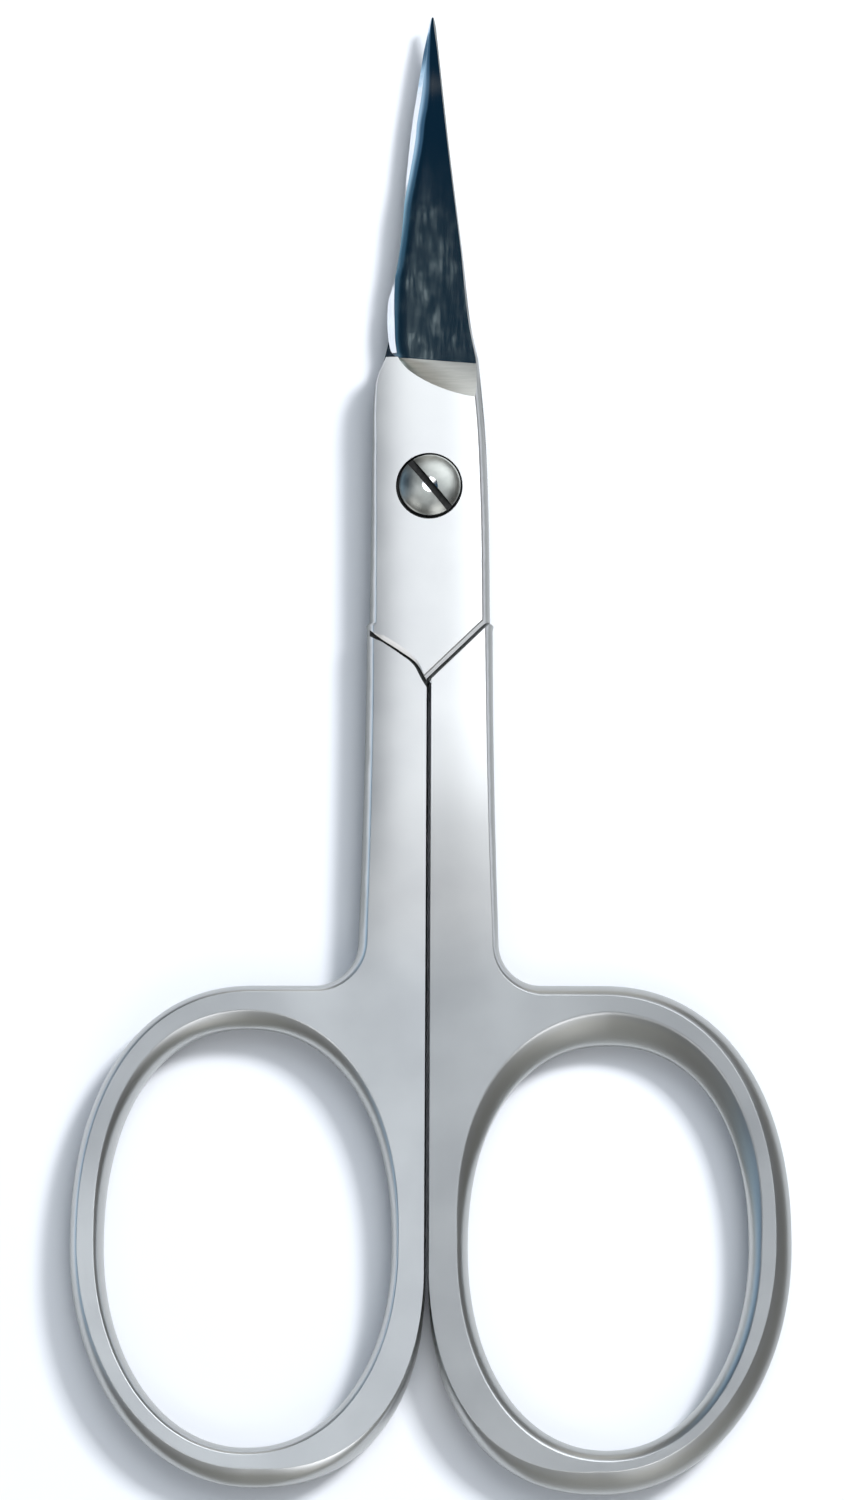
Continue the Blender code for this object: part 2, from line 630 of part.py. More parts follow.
def pivot_screw(material):
    """The slotted screw: domed head in the recess, smooth neck, threaded end flush with the back."""
    rim = THICKNESS - HEAD_RIM_BELOW_FACE
    under_head = THICKNESS - RECESS_DEPTH + SEAT_GAP
    dome_radius = (HEAD_RADIUS**2 + HEAD_DOME_HEIGHT**2) / (2 * HEAD_DOME_HEIGHT)
    dome_centre = rim + HEAD_DOME_HEIGHT - dome_radius
    edge_turn = math.asin((HEAD_RADIUS - HEAD_BEVEL) / dome_radius)
    turns = np.linspace(edge_turn, 0.0, BAND_STEPS * 2)
    dome = [(dome_radius * math.sin(turn), dome_centre + dome_radius * math.cos(turn)) for turn in turns]
    dome[-1] = (0.0, dome_centre + dome_radius)
    profile = [
        (0.0, 0.0),
        (THREAD_RADIUS - END_BEVEL, 0.0),
        (THREAD_RADIUS, END_BEVEL),
        (THREAD_RADIUS, LAP_PLANE),
        (SCREW_RADIUS, LAP_PLANE),
        (SCREW_RADIUS, under_head),
        (HEAD_RADIUS, under_head),
        (HEAD_RADIUS, rim - HEAD_BEVEL),
        *dome,
    ]
    screw = link_mesh("pivot_screw", turned(profile, ROUND_STEPS), material)

    slot = bmesh.new()
    bmesh.ops.create_cube(slot, size=1.0)
    height = SLOT_DEPTH + OVERRUN
    bmesh.ops.scale(slot, vec=(2 * (HEAD_RADIUS + OVERRUN), SLOT_WIDTH, height), verts=slot.verts)
    bmesh.ops.translate(slot, vec=(0, 0, rim + HEAD_DOME_HEIGHT - SLOT_DEPTH + height / 2), verts=slot.verts)
    cutter = link_mesh("screw_slot_cutter", slot, cutter=True)
    cutter.rotation_euler = (0, 0, SLOT_TURN)
    subtract(screw, cutter)
    screw.data.shade_smooth()
    screw.data.set_sharp_from_angle(angle=math.radians(30))
    return screw


def main():
    clear_scene()
    front_steel = steel("satin_steel_front", (0.62, 0.64, 0.67), 0.34)
    back_steel = steel("satin_steel_back", (0.6, 0.62, 0.65), 0.36)
    screw_steel = steel("polished_screw_steel", (0.5, 0.52, 0.5), 0.2)

    pivot = bpy.data.objects.new("pivot_axis", None)
    turned_over = bpy.data.objects.new("turned_over", None)
    for empty in (pivot, turned_over):
        bpy.context.scene.collection.objects.link(empty)
    turned_over.location = (0, 0, THICKNESS)
    turned_over.rotation_euler = (0, math.pi, 0)

    forging("front_half", FRONT_RING, front_bore(), front_steel, pivot)
    forging("back_half", BACK_RING, back_bore(), back_steel, turned_over)
    pivot_screw(screw_steel)


main()
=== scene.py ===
# %% [markdown]
# # Nail scissors in satin steel
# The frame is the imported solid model: two crossed halves and the screw that they turn on. This lesson dresses it.
# Each half is worked out again from the solid's plain sizes, with soft creases, fine curves and a ground blade.
# Every length is in metres, the tips point towards +Y and the screw head looks up.

import math

import bmesh
import bpy
import numpy as np
from mathutils import Matrix, Vector


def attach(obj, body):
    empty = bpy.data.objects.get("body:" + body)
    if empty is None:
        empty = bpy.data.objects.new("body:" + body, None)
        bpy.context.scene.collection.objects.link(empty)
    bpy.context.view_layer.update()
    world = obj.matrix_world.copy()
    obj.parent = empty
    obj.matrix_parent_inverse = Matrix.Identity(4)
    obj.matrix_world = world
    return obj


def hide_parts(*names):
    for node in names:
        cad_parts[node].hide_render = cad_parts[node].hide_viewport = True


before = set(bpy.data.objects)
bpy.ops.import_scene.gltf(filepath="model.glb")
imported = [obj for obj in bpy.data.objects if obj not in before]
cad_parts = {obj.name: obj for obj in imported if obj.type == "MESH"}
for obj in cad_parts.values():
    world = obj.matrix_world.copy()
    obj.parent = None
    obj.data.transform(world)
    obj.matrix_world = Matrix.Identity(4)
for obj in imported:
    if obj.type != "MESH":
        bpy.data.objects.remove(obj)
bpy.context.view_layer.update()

# %% [markdown]
# ## Smooth lines from a few knots
# A maker fixes a curve at a few places and lets it run smoothly between them. The same is done here: a cubic
# runs between each two knots, with a slope at each knot taken from its neighbours. A finer line only needs more
# steps, so it still passes through the same knots as the solid.

# %% Curves
SPAN_STEPS, TURN_STEPS, RING_STEPS = 20, 28, 90
ROUNDING_ERROR = 1e-9


def smooth_line(knots, steps=SPAN_STEPS):
    """Cubic on each span, start + leave·t + bend·t² + twist·t³, with slopes by differences along the chords."""
    knots = np.asarray(knots, float)
    chord = np.linalg.norm(np.diff(knots, axis=0), axis=1)
    slope = np.gradient(knots, np.concatenate([[0.0], np.cumsum(chord)]), axis=0)
    start, end, chord = knots[:-1, None], knots[1:, None], chord[:, None, None]
    leave, arrive = slope[:-1, None] * chord, slope[1:, None] * chord
    t = np.linspace(0.0, 1.0, steps, endpoint=False)[None, :, None]
    bend = 3 * (end - start) - 2 * leave - arrive
    twist = 2 * (start - end) + leave + arrive
    return np.vstack([(start + leave * t + bend * t**2 + twist * t**3).reshape(-1, 2), knots[-1:]])


def squarish_quarter(corner, reach, fullness, first, steps=RING_STEPS):
    """Quarter of a superellipse: corner + reach · (cos, sin), each raised to 2 / fullness with its sign."""
    angle = (first + np.linspace(0.0, 1.0, steps + 1)) * math.pi / 2
    wave = np.column_stack([np.cos(angle), np.sin(angle)])
    wave[np.abs(wave) < ROUNDING_ERROR] = 0.0
    return np.asarray(corner) + np.asarray(reach) * np.sign(wave) * np.abs(wave) ** (2 / fullness)


def arc(centre, radius, start, end, steps=TURN_STEPS):
    """Part of a circle: centre + radius · (cos, sin) of angles given in degrees."""
    turn = np.radians(np.linspace(start, end, steps))
    return np.asarray(centre) + radius * np.column_stack([np.cos(turn), np.sin(turn)])


print("a ring quarter has", len(squarish_quarter((0, 0), (1, 1), 2.2, 0)), "points")

# %% [markdown]
# ## The sizes of one half
# Both halves come from one die, so one set of sizes serves both, and only the finger rings are ground to their own.
# The blade narrows from the box to the tip, the box is the lapped middle, the shank runs down to the finger ring.
# Widths along the blade and box are kept as shares, as a maker's table of half widths would be.

# %% Sizes
THICKNESS = 0.0032
LAP_GAP = 0.00005
LAP = THICKNESS / 2 + LAP_GAP
CENTRE_X = -0.00011

BLADE_LENGTH, ROOT_Y, ROOT_HALF = 0.0303, 0.0082, 0.00298
TIP_RADIUS = 0.00016
SPINE = ((0.0, 1.0), (0.04, 0.925), (0.32, 0.645), (0.61, 0.37), (0.9, 0.13))
EDGE = ((0.9, 0.185), (0.757, 0.345), (0.683, 0.427), (0.609, 0.486), (0.52, 0.547), (0.21, 0.828))
HEEL = ((0.17, 0.912), (0.14, 0.926), (0.09, 0.923), (0.054, 0.895), (0.025, 0.84), (0.006, 0.7))
FACET = ((0.9, 0.118), (0.757, 0.241), (0.683, 0.323), (0.645, 0.345), (0.562, 0.44), (0.479, 0.548))
FACET_FOOT = ((0.316, 0.708), (0.236, 0.768), (0.15, 0.782), (0.1, 0.771), (0.05, 0.755), (0.0, 0.7))

BOX_HALF, BOX_CORNER = 0.00376, 0.00283
BOX_SIDE = ((0.963, 0.47), (0.894, 0.77), (0.856, 0.86))
BOX_BACK = ((0.905, 0.92), (0.955, 0.84), (0.973, 0.68), (0.985, 0.4), (1.0, 0.06))
SHOULDER_TOP, SHOULDER_FOOT, SHOULDER_GAP = 0.00877, 0.0124, 0.00014
SHOULDER_STEP = 0.00022

SHANK_HALF, SHANK_FOOT_HALF = 0.00393, 0.00436
SHANK = ((1.0, 0.0), (1.008, 0.2), (1.06, 0.7))
FILLET = 0.0027
RING_TOP, RING_MIDDLE, RING_CENTRE, RING_TANGENT = 0.03137, 0.0475, 0.0107, 0.0495
RING_FULLNESS = (2.24, 2.05, 2.3)
HOLE_CENTRE = 0.01115
HOLE_FULLNESS = (2.2, 2.25, 2.06, 2.15)
RING_PARTS = ("reach", "bottom", "side", "inner", "top", "foot")
FRONT_RING = dict(zip(RING_PARTS, (0.02212, 0.06242, 0.00206, 0.00208, 0.00271, 0.00244)))
BACK_RING = dict(zip(RING_PARTS, (0.02251, 0.06278, 0.00265, 0.00241, 0.00365, 0.00268)))
print("one half is", round((BLADE_LENGTH + FRONT_RING["bottom"]) * 1000, 1), "mm long")

# %% [markdown]
# ## The plan of one half
# The forging's plan is one closed loop, walked anticlockwise: up the centre line, over the shoulder, up the box
# and spine, round the tip, down the cutting edge to the heel, down the box again, then the shank and the ring.
# Each stretch also says how wide its rounding is on the outer and on the lapped face, because the stamping die
# leaves a crisp box and a soft ring.

# %% The loop
RISE = (SHOULDER_FOOT - SHOULDER_TOP) / BOX_HALF
LIFT = SHOULDER_GAP * math.hypot(1.0, RISE)
APEX = (CENTRE_X, RISE * CENTRE_X - SHOULDER_FOOT + LIFT)
NOTCH_SHARE, NOTCH_STEP = 0.68, 0.00002
ROUNDING = {
    # place: rounding on the outer face, rounding on the lapped face
    "box": (0.00045, 0.00045),
    "blade": (0.00005, 0.00005),
    "centre": (0.00004, 0.00004),
    "shoulder": (0.0001, 0.00004),
    "shank": (0.0006, 0.00034),
    "top": (0.0005, 0.0007),
    "side": (0.0005, 0.00097),
    "end": (0.0011, 0.00134),
}
OUTER_HOLE = (0.00045, 0.00105, 0.00052, 0.00047, 0.00045)
LAPPED_HOLE = (0.00065, 0.00186, 0.00078, 0.00072, 0.00065)


def blade_knots(table, side):
    """Blade table to points: x = side · width share · root half width, y = root + length share · blade."""
    table = np.asarray(table)
    return np.column_stack([side * table[:, 1] * ROOT_HALF, ROOT_Y + table[:, 0] * (BLADE_LENGTH - ROOT_Y)])


def box_knots(table, side):
    """Box table to points: x = side · width share · box half width, y from the shoulder up to the root."""
    table = np.asarray(table)
    return np.column_stack([side * table[:, 0] * BOX_HALF, -SHOULDER_TOP + table[:, 1] * (ROOT_Y + SHOULDER_TOP)])


def half_plan(ring):
    """The loop as stretches of (points, roundings of their ends on the outer face and on the lapped face)."""
    corner = (BOX_HALF, -SHOULDER_TOP + LIFT)
    shank_top = -SHOULDER_TOP - SHOULDER_STEP
    run = RING_TOP - FILLET + shank_top
    foot = (-SHANK_FOOT_HALF, -RING_TOP + FILLET)
    shank = [(-w * SHANK_HALF, shank_top - a * run) for w, a in SHANK] + [foot]
    middle, low = (-RING_CENTRE, -RING_MIDDLE), (-RING_CENTRE, -RING_TANGENT)
    wide, bottom = ring["reach"] - RING_CENTRE, ring["bottom"]
    outer = squarish_quarter(middle, (wide, RING_MIDDLE - RING_TOP), RING_FULLNESS[0], 1)
    lower = squarish_quarter(middle, (wide, bottom - RING_MIDDLE), RING_FULLNESS[1], 2)
    inner = squarish_quarter(low, (RING_CENTRE + CENTRE_X, bottom - RING_TANGENT), RING_FULLNESS[2], 3)
    notch = (-BOX_CORNER, ROOT_Y - NOTCH_STEP)
    stretches = (
        ([(CENTRE_X, -RING_TANGENT), (CENTRE_X, -(RING_TANGENT + SHOULDER_FOOT) / 2), APEX], "centre", "centre"),
        ([APEX, corner], "shoulder", "shoulder"),
        (smooth_line([corner, *box_knots(BOX_SIDE, 1), (ROOT_HALF, ROOT_Y)]), "box", "box"),
        (smooth_line(blade_knots(SPINE, 1)), "box", "blade"),
        (arc((0.0, BLADE_LENGTH - TIP_RADIUS), TIP_RADIUS, 12, 168), "blade", "blade"),
        (smooth_line(blade_knots(EDGE + HEEL, -1)), "blade", "blade"),
        ([(-NOTCH_SHARE * ROOT_HALF, ROOT_Y), notch], "blade", "blade"),
        (smooth_line([notch, *box_knots(BOX_BACK, -1)]), "blade", "box"),
        ([(-BOX_HALF, -SHOULDER_TOP + SHOULDER_STEP), (-BOX_HALF - SHOULDER_STEP, -SHOULDER_TOP)], "box", "box"),
        (smooth_line(shank), "box", "shank"),
        (arc((foot[0] - FILLET, foot[1]), FILLET, 0, -90), "shank", "top"),
        (outer, "top", "side"),
        (lower, "side", "end"),
        (inner, "end", "centre"),
    )
    return [(line, *zip(ROUNDING[first], ROUNDING[last])) for line, first, last in stretches]


def join_stretches(stretches):
    """One closed loop: the stretches end to end, doubled points dropped, roundings sliding evenly along each."""
    points = np.vstack([np.asarray(line, float) for line, _, _ in stretches])
    outer = np.concatenate([np.linspace(*ends, len(line)) for line, ends, _ in stretches])
    lapped = np.concatenate([np.linspace(*ends, len(line)) for line, _, ends in stretches])
    ahead = np.linalg.norm(np.roll(points, -1, axis=0) - points, axis=1)
    keep = ahead > TIP_RADIUS / 20
    return points[keep], outer[keep], lapped[keep]


plan, plan_outer, plan_lapped = join_stretches(half_plan(FRONT_RING))
print("the plan has", len(plan), "points, and spans", np.round(np.ptp(plan, axis=0) * 1000, 2), "mm")

# %% [markdown]
# ## From plan to a rounded blank
# A band along each rim rolls over from the upright side to the flat face. Narrow bands are steep and round, wide ones
# lie flatter, so two profiles are blended by the band's width. The loop is repeated at many levels, drawn inward as
# it nears a face, and a short parabola lays it onto the flat. This soft crease draws the dark line along the rings.
# A Bevel modifier could round the same edge, but the loop keeps the width under control all the way round.

# %% Two profiles of a band
ARC_LIMIT, ARC_HIGH = math.radians(80), 0.9 * THICKNESS / 2
START_SLOPE, SWELL, ROUND = 0.55, 0.4, 0.1
STEEP_BAND, FLAT_BAND = 0.0006, 0.00105
SMALL_TURN, SMALL_SHARE = 0.001, 0.000001


def steep_profile(q):
    """Fall and slope in metres at the share q from crease (0) to side (1): a quarter ellipse cut off at 80°."""
    turn = np.arccos(1 - (1 - q) * (1 - math.cos(ARC_LIMIT)))
    fall = ARC_HIGH * (1 - np.sin(turn) / math.sin(ARC_LIMIT))
    return fall, ARC_HIGH / math.sin(ARC_LIMIT) * (1 - math.cos(ARC_LIMIT)) / np.tan(np.maximum(turn, SMALL_TURN))


def flat_profile(q):
    """Fall and slope as shares of the band: the slope START + SWELL·q² + ROUND·((1 - q)^-½ - 1), and its sum."""
    fall = START_SLOPE * q + SWELL * q**3 / 3 + ROUND * (2 - 2 * np.sqrt(1 - q) - q)
    return fall, START_SLOPE + SWELL * q**2 + ROUND * (np.maximum(1 - q, SMALL_SHARE) ** -0.5 - 1)


print("a steep band falls", ARC_HIGH * 1000, "mm, a flat one", round(flat_profile(1.0)[0], 3), "of its width")

# %% Levels and insets
RIM_CREASE, HOLE_CREASE, MITRE_FROM = 0.03, 0.08, 0.2


def rounding_levels(crease, arc_steps=14, crease_steps=6):
    """Rows of (inward share, steep drop, flat drop) from the side to just past the crease, where it lies level.

    Within ±crease the drop is a parabola, slope · (q + crease)² / (4 · crease), that meets the profile's slope.
    """
    q = 1 - (1 - crease) * np.linspace(0.0, 1.0, arc_steps) ** 2
    near = crease * (1 - 2 * np.linspace(0.0, 1.0, crease_steps + 1)[1:])
    columns = [np.concatenate([1 - q, 1 - near])]
    for profile in (steep_profile, flat_profile):
        fall, slope = profile(crease)
        ease = slope * (near + crease) ** 2 / (4 * crease)
        columns.append(np.concatenate([profile(q)[0] - fall + slope * crease, ease]))
    return np.column_stack(columns)


def inset(points, bands):
    """Each point moves in by the bands of its two edges: along the mean normal, or to the mitre at a corner."""
    ahead = np.roll(points, -1, axis=0) - points
    ahead /= np.linalg.norm(ahead, axis=1)[:, None]
    normal = np.column_stack([-ahead[:, 1], ahead[:, 0]])
    before, band_before = np.roll(normal, 1, axis=0), np.roll(bands, 1)
    cross = before[:, 0] * normal[:, 1] - before[:, 1] * normal[:, 0]
    gentle = np.abs(cross) < MITRE_FROM
    safe = np.where(gentle, 1.0, cross)
    mitre_x = (band_before * normal[:, 1] - bands * before[:, 1]) / safe
    mitre_y = (bands * before[:, 0] - band_before * normal[:, 0]) / safe
    middle = before + normal
    middle *= ((bands + band_before) / 2 / np.linalg.norm(middle, axis=1))[:, None]
    return points + np.where(gentle[:, None], middle, np.column_stack([mitre_x, mitre_y]))


def level_loops(points, bands, levels, direction, lift=0.0):
    """A grid of loops: the plan inset by band · inward share, and lowered from the face by the blended drop."""
    wide = np.clip((np.abs(bands) - STEEP_BAND) / (FLAT_BAND - STEEP_BAND), 0, 1)
    drop = (1 - wide) * levels[:, 1:2] + wide * np.abs(bands) * levels[:, 2:]
    loops = [inset(points, bands * share) for share in levels[:, 0]]
    heights = THICKNESS / 2 + direction * (THICKNESS / 2 - drop + lift)
    return np.stack([np.column_stack([loop, height]) for loop, height in zip(loops, heights)])


RIM_LEVELS, HOLE_LEVELS = rounding_levels(RIM_CREASE), rounding_levels(HOLE_CREASE)
print("levels from side to face:", np.round(RIM_LEVELS[::5], 3).tolist())

# %% [markdown]
# ## Putting surfaces into meshes
# A surface here is a grid: rows of points, each row a closed loop. Quads join neighbouring rows, and one face
# closes each end. The faces are numbered with arrays.

# %% Mesh helpers
LEVEL = 0.99995


def new_object(name, data):
    """An object that holds the data, put into the scene."""
    item = bpy.data.objects.new(name, data)
    bpy.context.scene.collection.objects.link(item)
    return item


def closed_loft(name, grid, material, column_slots=None):
    """Quads between rows, wrapped round, and a face on each end row; a column of quads may have its own slot."""
    rows, count = grid.shape[:2]
    number = np.arange(rows * count).reshape(rows, count)
    ahead = np.roll(number, -1, axis=1)
    quads = np.stack([number[:-1], ahead[:-1], ahead[1:], number[1:]], axis=-1).reshape(-1, 4)
    faces = quads.tolist() + [number[0, ::-1].tolist(), number[-1].tolist()]
    slots = None if column_slots is None else [*column_slots] * (rows - 1) + [0, 0]
    return mesh_object(name, grid.reshape(-1, 3), faces, material, slots)


def mesh_object(name, points, faces, material, face_slots=None):
    """A new mesh object with its points in place, facing outwards, with one material or a list of them."""
    mesh = bpy.data.meshes.new(name)
    mesh.from_pydata(points.tolist(), [], faces)
    for entry in material if isinstance(material, list) else [material]:
        mesh.materials.append(entry)
    if face_slots is not None:
        mesh.polygons.foreach_set("material_index", np.asarray(face_slots, np.int32))
    work = bmesh.new()
    work.from_mesh(mesh)
    bmesh.ops.recalc_face_normals(work, faces=work.faces)
    work.to_mesh(mesh)
    work.free()
    return new_object(name, mesh)


def carve(item, cutters):
    """Subtract the cutters one after another, keep the result as plain mesh and throw the cutters away."""
    for cutter in cutters:
        cut = item.modifiers.new(cutter.name, "BOOLEAN")
        cut.operation, cut.solver, cut.material_mode = "DIFFERENCE", "EXACT", "TRANSFER"
        cut.object = cutter
    graph = bpy.context.evaluated_depsgraph_get()
    shape = item.evaluated_get(graph)
    result = bpy.data.meshes.new_from_object(shape, preserve_all_data_layers=True, depsgraph=graph)
    item.modifiers.clear()
    spent = [item.data, *(cutter.data for cutter in cutters)]
    item.data = result
    for cutter in cutters:
        bpy.data.objects.remove(cutter)
    for mesh in spent:
        bpy.data.meshes.remove(mesh)
    result.name = item.name


def read(items, label, kind=np.int32, width=1):
    """One property of all items as an array."""
    values = np.zeros(len(items) * width, kind)
    items.foreach_get(label, values)
    return values


def crease(item, degrees):
    """Smooth shading, sharp where faces meet above the angle, at a change of finish, or at a wide flat face."""
    mesh = item.data
    mesh.shade_smooth()
    mesh.set_sharp_from_angle(angle=math.radians(degrees))
    sizes, slots = read(mesh.polygons, "loop_total"), read(mesh.polygons, "material_index")
    upright = np.abs(read(mesh.polygons, "normal", float, 3).reshape(-1, 3)[:, 2])
    edges = read(mesh.loops, "edge_index")
    wide = (sizes > 4) & (upright > LEVEL)
    low, high = np.full(len(mesh.edges), 999), np.full(len(mesh.edges), -1)
    np.minimum.at(low, edges, np.repeat(slots, sizes))
    np.maximum.at(high, edges, np.repeat(slots, sizes))
    attribute = mesh.attributes.get("sharp_edge") or mesh.attributes.new("sharp_edge", "BOOLEAN", "EDGE")
    sharp = read(attribute.data, "value", bool) | (low != high)
    sharp[edges[np.repeat(wide, sizes)]] = True
    mesh.attributes["sharp_edge"].data.foreach_set("value", sharp)
    mesh.update()


print("a face is level where its normal's z passes", LEVEL)

# %% [markdown]
# ## Shared effects for the steel
# Bare steel is never one even colour. Blasting leaves a fine grain, grinding leaves streaks along the stroke, and
# handling leaves faint clouds. Each effect is a node group that gives a value to several finishes. They read Object
# coordinates, in metres, so a scale of 8000 makes grains of about an eighth of a millimetre. Math nodes are written
# as formulas.

# %% Node helpers
SIGNS = {"+": "ADD", "-": "SUBTRACT", "*": "MULTIPLY", "/": "DIVIDE", "^": "POWER"}
SIGNS |= {"max": "MAXIMUM", "abs": "ABSOLUTE", "exp": "EXPONENT"}


def new_group(name, inputs, outputs):
    """A shader node group with float inputs (name, default) and float outputs."""
    group = bpy.data.node_groups.new(name, "ShaderNodeTree")
    for label, default in inputs:
        group.interface.new_socket(label, in_out="INPUT", socket_type="NodeSocketFloat").default_value = default
    for label in outputs:
        group.interface.new_socket(label, in_out="OUTPUT", socket_type="NodeSocketFloat")
    return group, group.nodes.new("NodeGroupInput").outputs, group.nodes.new("NodeGroupOutput").inputs


def put(tree, kind, links=(), **values):
    """Add a node, set its plain attributes, then link or set its numbered or named inputs."""
    node = tree.nodes.new(kind)
    for label, value in values.items():
        setattr(node, label, value)
    for socket, source in links:
        if isinstance(source, bpy.types.NodeSocket):
            tree.links.new(source, node.inputs[socket])
        else:
            node.inputs[socket].default_value = source
    return node


def maths(tree, term):
    """Math nodes for nested formulas (a, sign, b) or (sign, a); a number or a socket stands for itself."""
    if not isinstance(term, tuple):
        return term
    sign, parts = (term[0], term[1:]) if isinstance(term[0], str) else (term[1], term[::2])
    links = [(number, maths(tree, part)) for number, part in enumerate(parts)]
    return put(tree, "ShaderNodeMath", links, operation=SIGNS[sign]).outputs[0]


def fade(tree, term, low, high, to_low=0.0, to_high=1.0):
    """A smooth step of the value from low to high."""
    links = ((0, maths(tree, term)), (1, low), (2, high), (3, to_low), (4, to_high))
    return put(tree, "ShaderNodeMapRange", links, interpolation_type="SMOOTHSTEP").outputs[0]


def blended(tree, factor, low, high):
    """A colour between two colours or colour sockets."""
    low, high = (end if isinstance(end, bpy.types.NodeSocket) else (*end, 1.0) for end in (low, high))
    links = (("Factor", factor), ("A", low), ("B", high))
    return put(tree, "ShaderNodeMix", links, data_type="RGBA").outputs["Result"]


def vectors(tree, operation, *terms):
    """The outputs of a Vector Math node."""
    return put(tree, "ShaderNodeVectorMath", enumerate(terms), operation=operation).outputs


def position(tree):
    """Object coordinates as a vector."""
    return put(tree, "ShaderNodeTexCoord").outputs["Object"]


def axes(tree, place):
    """The x, y and z of a vector."""
    return put(tree, "ShaderNodeSeparateXYZ", ((0, place),)).outputs


def noise(tree, place, scale, detail):
    """Noise about one half."""
    links = (("Vector", place), ("Scale", scale), ("Detail", detail))
    return put(tree, "ShaderNodeTexNoise", links).outputs["Fac"]


print("signs for formulas:", *SIGNS)

# %% Grain, streaks and clouds
def grain_group():
    """Noise in all directions: Height is the raw noise, Cloud is a far larger noise."""
    group, given, made = new_group("blasted grain", (("Scale", 8000.0), ("Cloud Scale", 160.0)), ("Height", "Cloud"))
    place = position(group)
    for socket, detail in enumerate((3.0, 4.0)):
        group.links.new(noise(group, place, given[socket], detail), made[socket])
    return group


def streak_group():
    """Noise squeezed across the stroke: X is scaled by Across and Y by Along, so grains become streaks along Y."""
    group, given, made = new_group("ground streaks", (("Across", 9000.0), ("Along", 500.0)), ("Height",))
    scale = put(group, "ShaderNodeCombineXYZ", ((0, given[0]), (1, given[1]), (2, given[0]))).outputs[0]
    squeezed = vectors(group, "MULTIPLY", position(group), scale)[0]
    group.links.new(noise(group, squeezed, 1.0, 3.0), made[0])
    return group


def side_shade_mask_group():
    """How close a point is to the top or the back face: 1 on the faces' rims and the faces, 0 on the sides.
    The satin paints the sides darker by it, as painted shade.
    """
    group, given, made = new_group("side shade mask", (("Depth", 0.0001), ("Scale", 900.0)), ("Rim",))
    place = position(group)
    height = axes(group, place)[2]
    ragged = (noise(group, place, given[1], 2.0), "+", 0.5)
    start = maths(group, (THICKNESS / 2, "-", (given[0], "*", ragged)))
    group.links.new(fade(group, ("abs", (height, "-", THICKNESS / 2)), start, THICKNESS / 2), made[0])
    return group


def bell(height, value, width, power, steep=-1.0):
    """The formula height · exp(steep · (value / width) ^ power)."""
    return (("exp", (((value, "/", width), "^", power), "*", steep)), "*", height)


CROWN_FADE, LEAN_FROM, LEAN_EASE = (-0.035, -0.019, 0.1, 1.0), -0.014, 0.01
HUMP_DOWN, HUMP_WIDE, DISH_RADIUS = 0.0195, 0.007, 0.0156


def crown_group():
    """The belt leaves no face quite flat: the height in metres is waves + hump + crown - dish - lean.

    The crown is a bell of power 4 across the box that fades out down the shanks, the hump one of power 2 along them,
    the dish one of power 6 round the finger ring. The lean is s·t² / (t + 1 cm), with t down the shank.
    """
    inputs = {"Crown": 0.0003, "Lean": 0.0, "Hump": 0.0, "Dish": 0.0, "Wave": 0.00002, "Wave Scale": 130.0}
    group, given, made = new_group("belt ground crown", inputs.items(), ("Height",))
    place = position(group)
    x, y, _ = axes(group, place)
    crown = (bell(given["Crown"], ("abs", x), BOX_HALF, 4.0, -0.5), "*", fade(group, y, *CROWN_FADE))
    down = maths(group, ((LEAN_FROM, "-", y), "max", 0.0))
    lean = (((down, "*", down), "/", (down, "+", LEAN_EASE)), "*", given["Lean"])
    hump = bell(given["Hump"], (y, "+", HUMP_DOWN), HUMP_WIDE, 2.0)
    far = vectors(group, "DISTANCE", place, (-HOLE_CENTRE, -RING_MIDDLE, 0.0))["Value"]
    dish = bell(given["Dish"], far, DISH_RADIUS, 6.0)
    wave = (noise(group, place, given["Wave Scale"], 1.0), "*", given["Wave"])
    group.links.new(maths(group, (((wave, "+", hump), "+", crown), "-", (dish, "+", lean))), made[0])
    return group


GRAIN, STREAKS, SIDE_SHADE_MASK, CROWN = grain_group(), streak_group(), side_shade_mask_group(), crown_group()
print("groups:", [group.name for group in (GRAIN, STREAKS, SIDE_SHADE_MASK, CROWN)])

# %% [markdown]
# ## The finishes
# The halves are blasted to an even satin. The blade's outer face is ground and polished like a mirror, its narrow
# bevel is brighter still, and the hollow where the wheel runs out at the box keeps a dull grey grind. The inner
# faces keep straight grinding lines, and the screw is turned on a lathe. Some tints carry painted shade: near black
# in the gaps, slots and seat, darker on the sides and the rings, and partly on the lap face. The facet's tint turns
# teal near the box as a painted reflection. All are metals, so the colour is the tint of their reflections and
# roughness does the rest.

# %% Finish helpers
def preset(node, values):
    """Plain values for the inputs that the labels name."""
    for label, value in values.items():
        node.inputs[label.replace("_", " ")].default_value = value
    return node


def surface(name, tint, roughness, **values):
    """A material, its nodes and its shader."""
    material = bpy.data.materials.new(name)
    material.use_nodes = True
    shader = material.node_tree.nodes["Principled BSDF"]
    preset(shader, {"Base Color": (*tint, 1.0), "Roughness": roughness, **values})
    return material, material.node_tree, shader


def shared(tree, group, **values):
    """The outputs of a shared group with its own values."""
    return preset(put(tree, "ShaderNodeGroup", node_tree=group), values).outputs


def bump(tree, height, distance=1.0, strength=1.0):
    """The normal of a fine relief from a height value; the distance is in metres."""
    links = (("Height", height), ("Strength", strength), ("Distance", distance))
    return put(tree, "ShaderNodeBump", links).outputs["Normal"]


def feed(tree, shader, colour, roughness, normal):
    """Link what every finish has to its shader."""
    for label, source in (("Base Color", colour), ("Roughness", roughness), ("Normal", normal)):
        tree.links.new(source, shader.inputs[label])


print("materials so far:", len(bpy.data.materials))
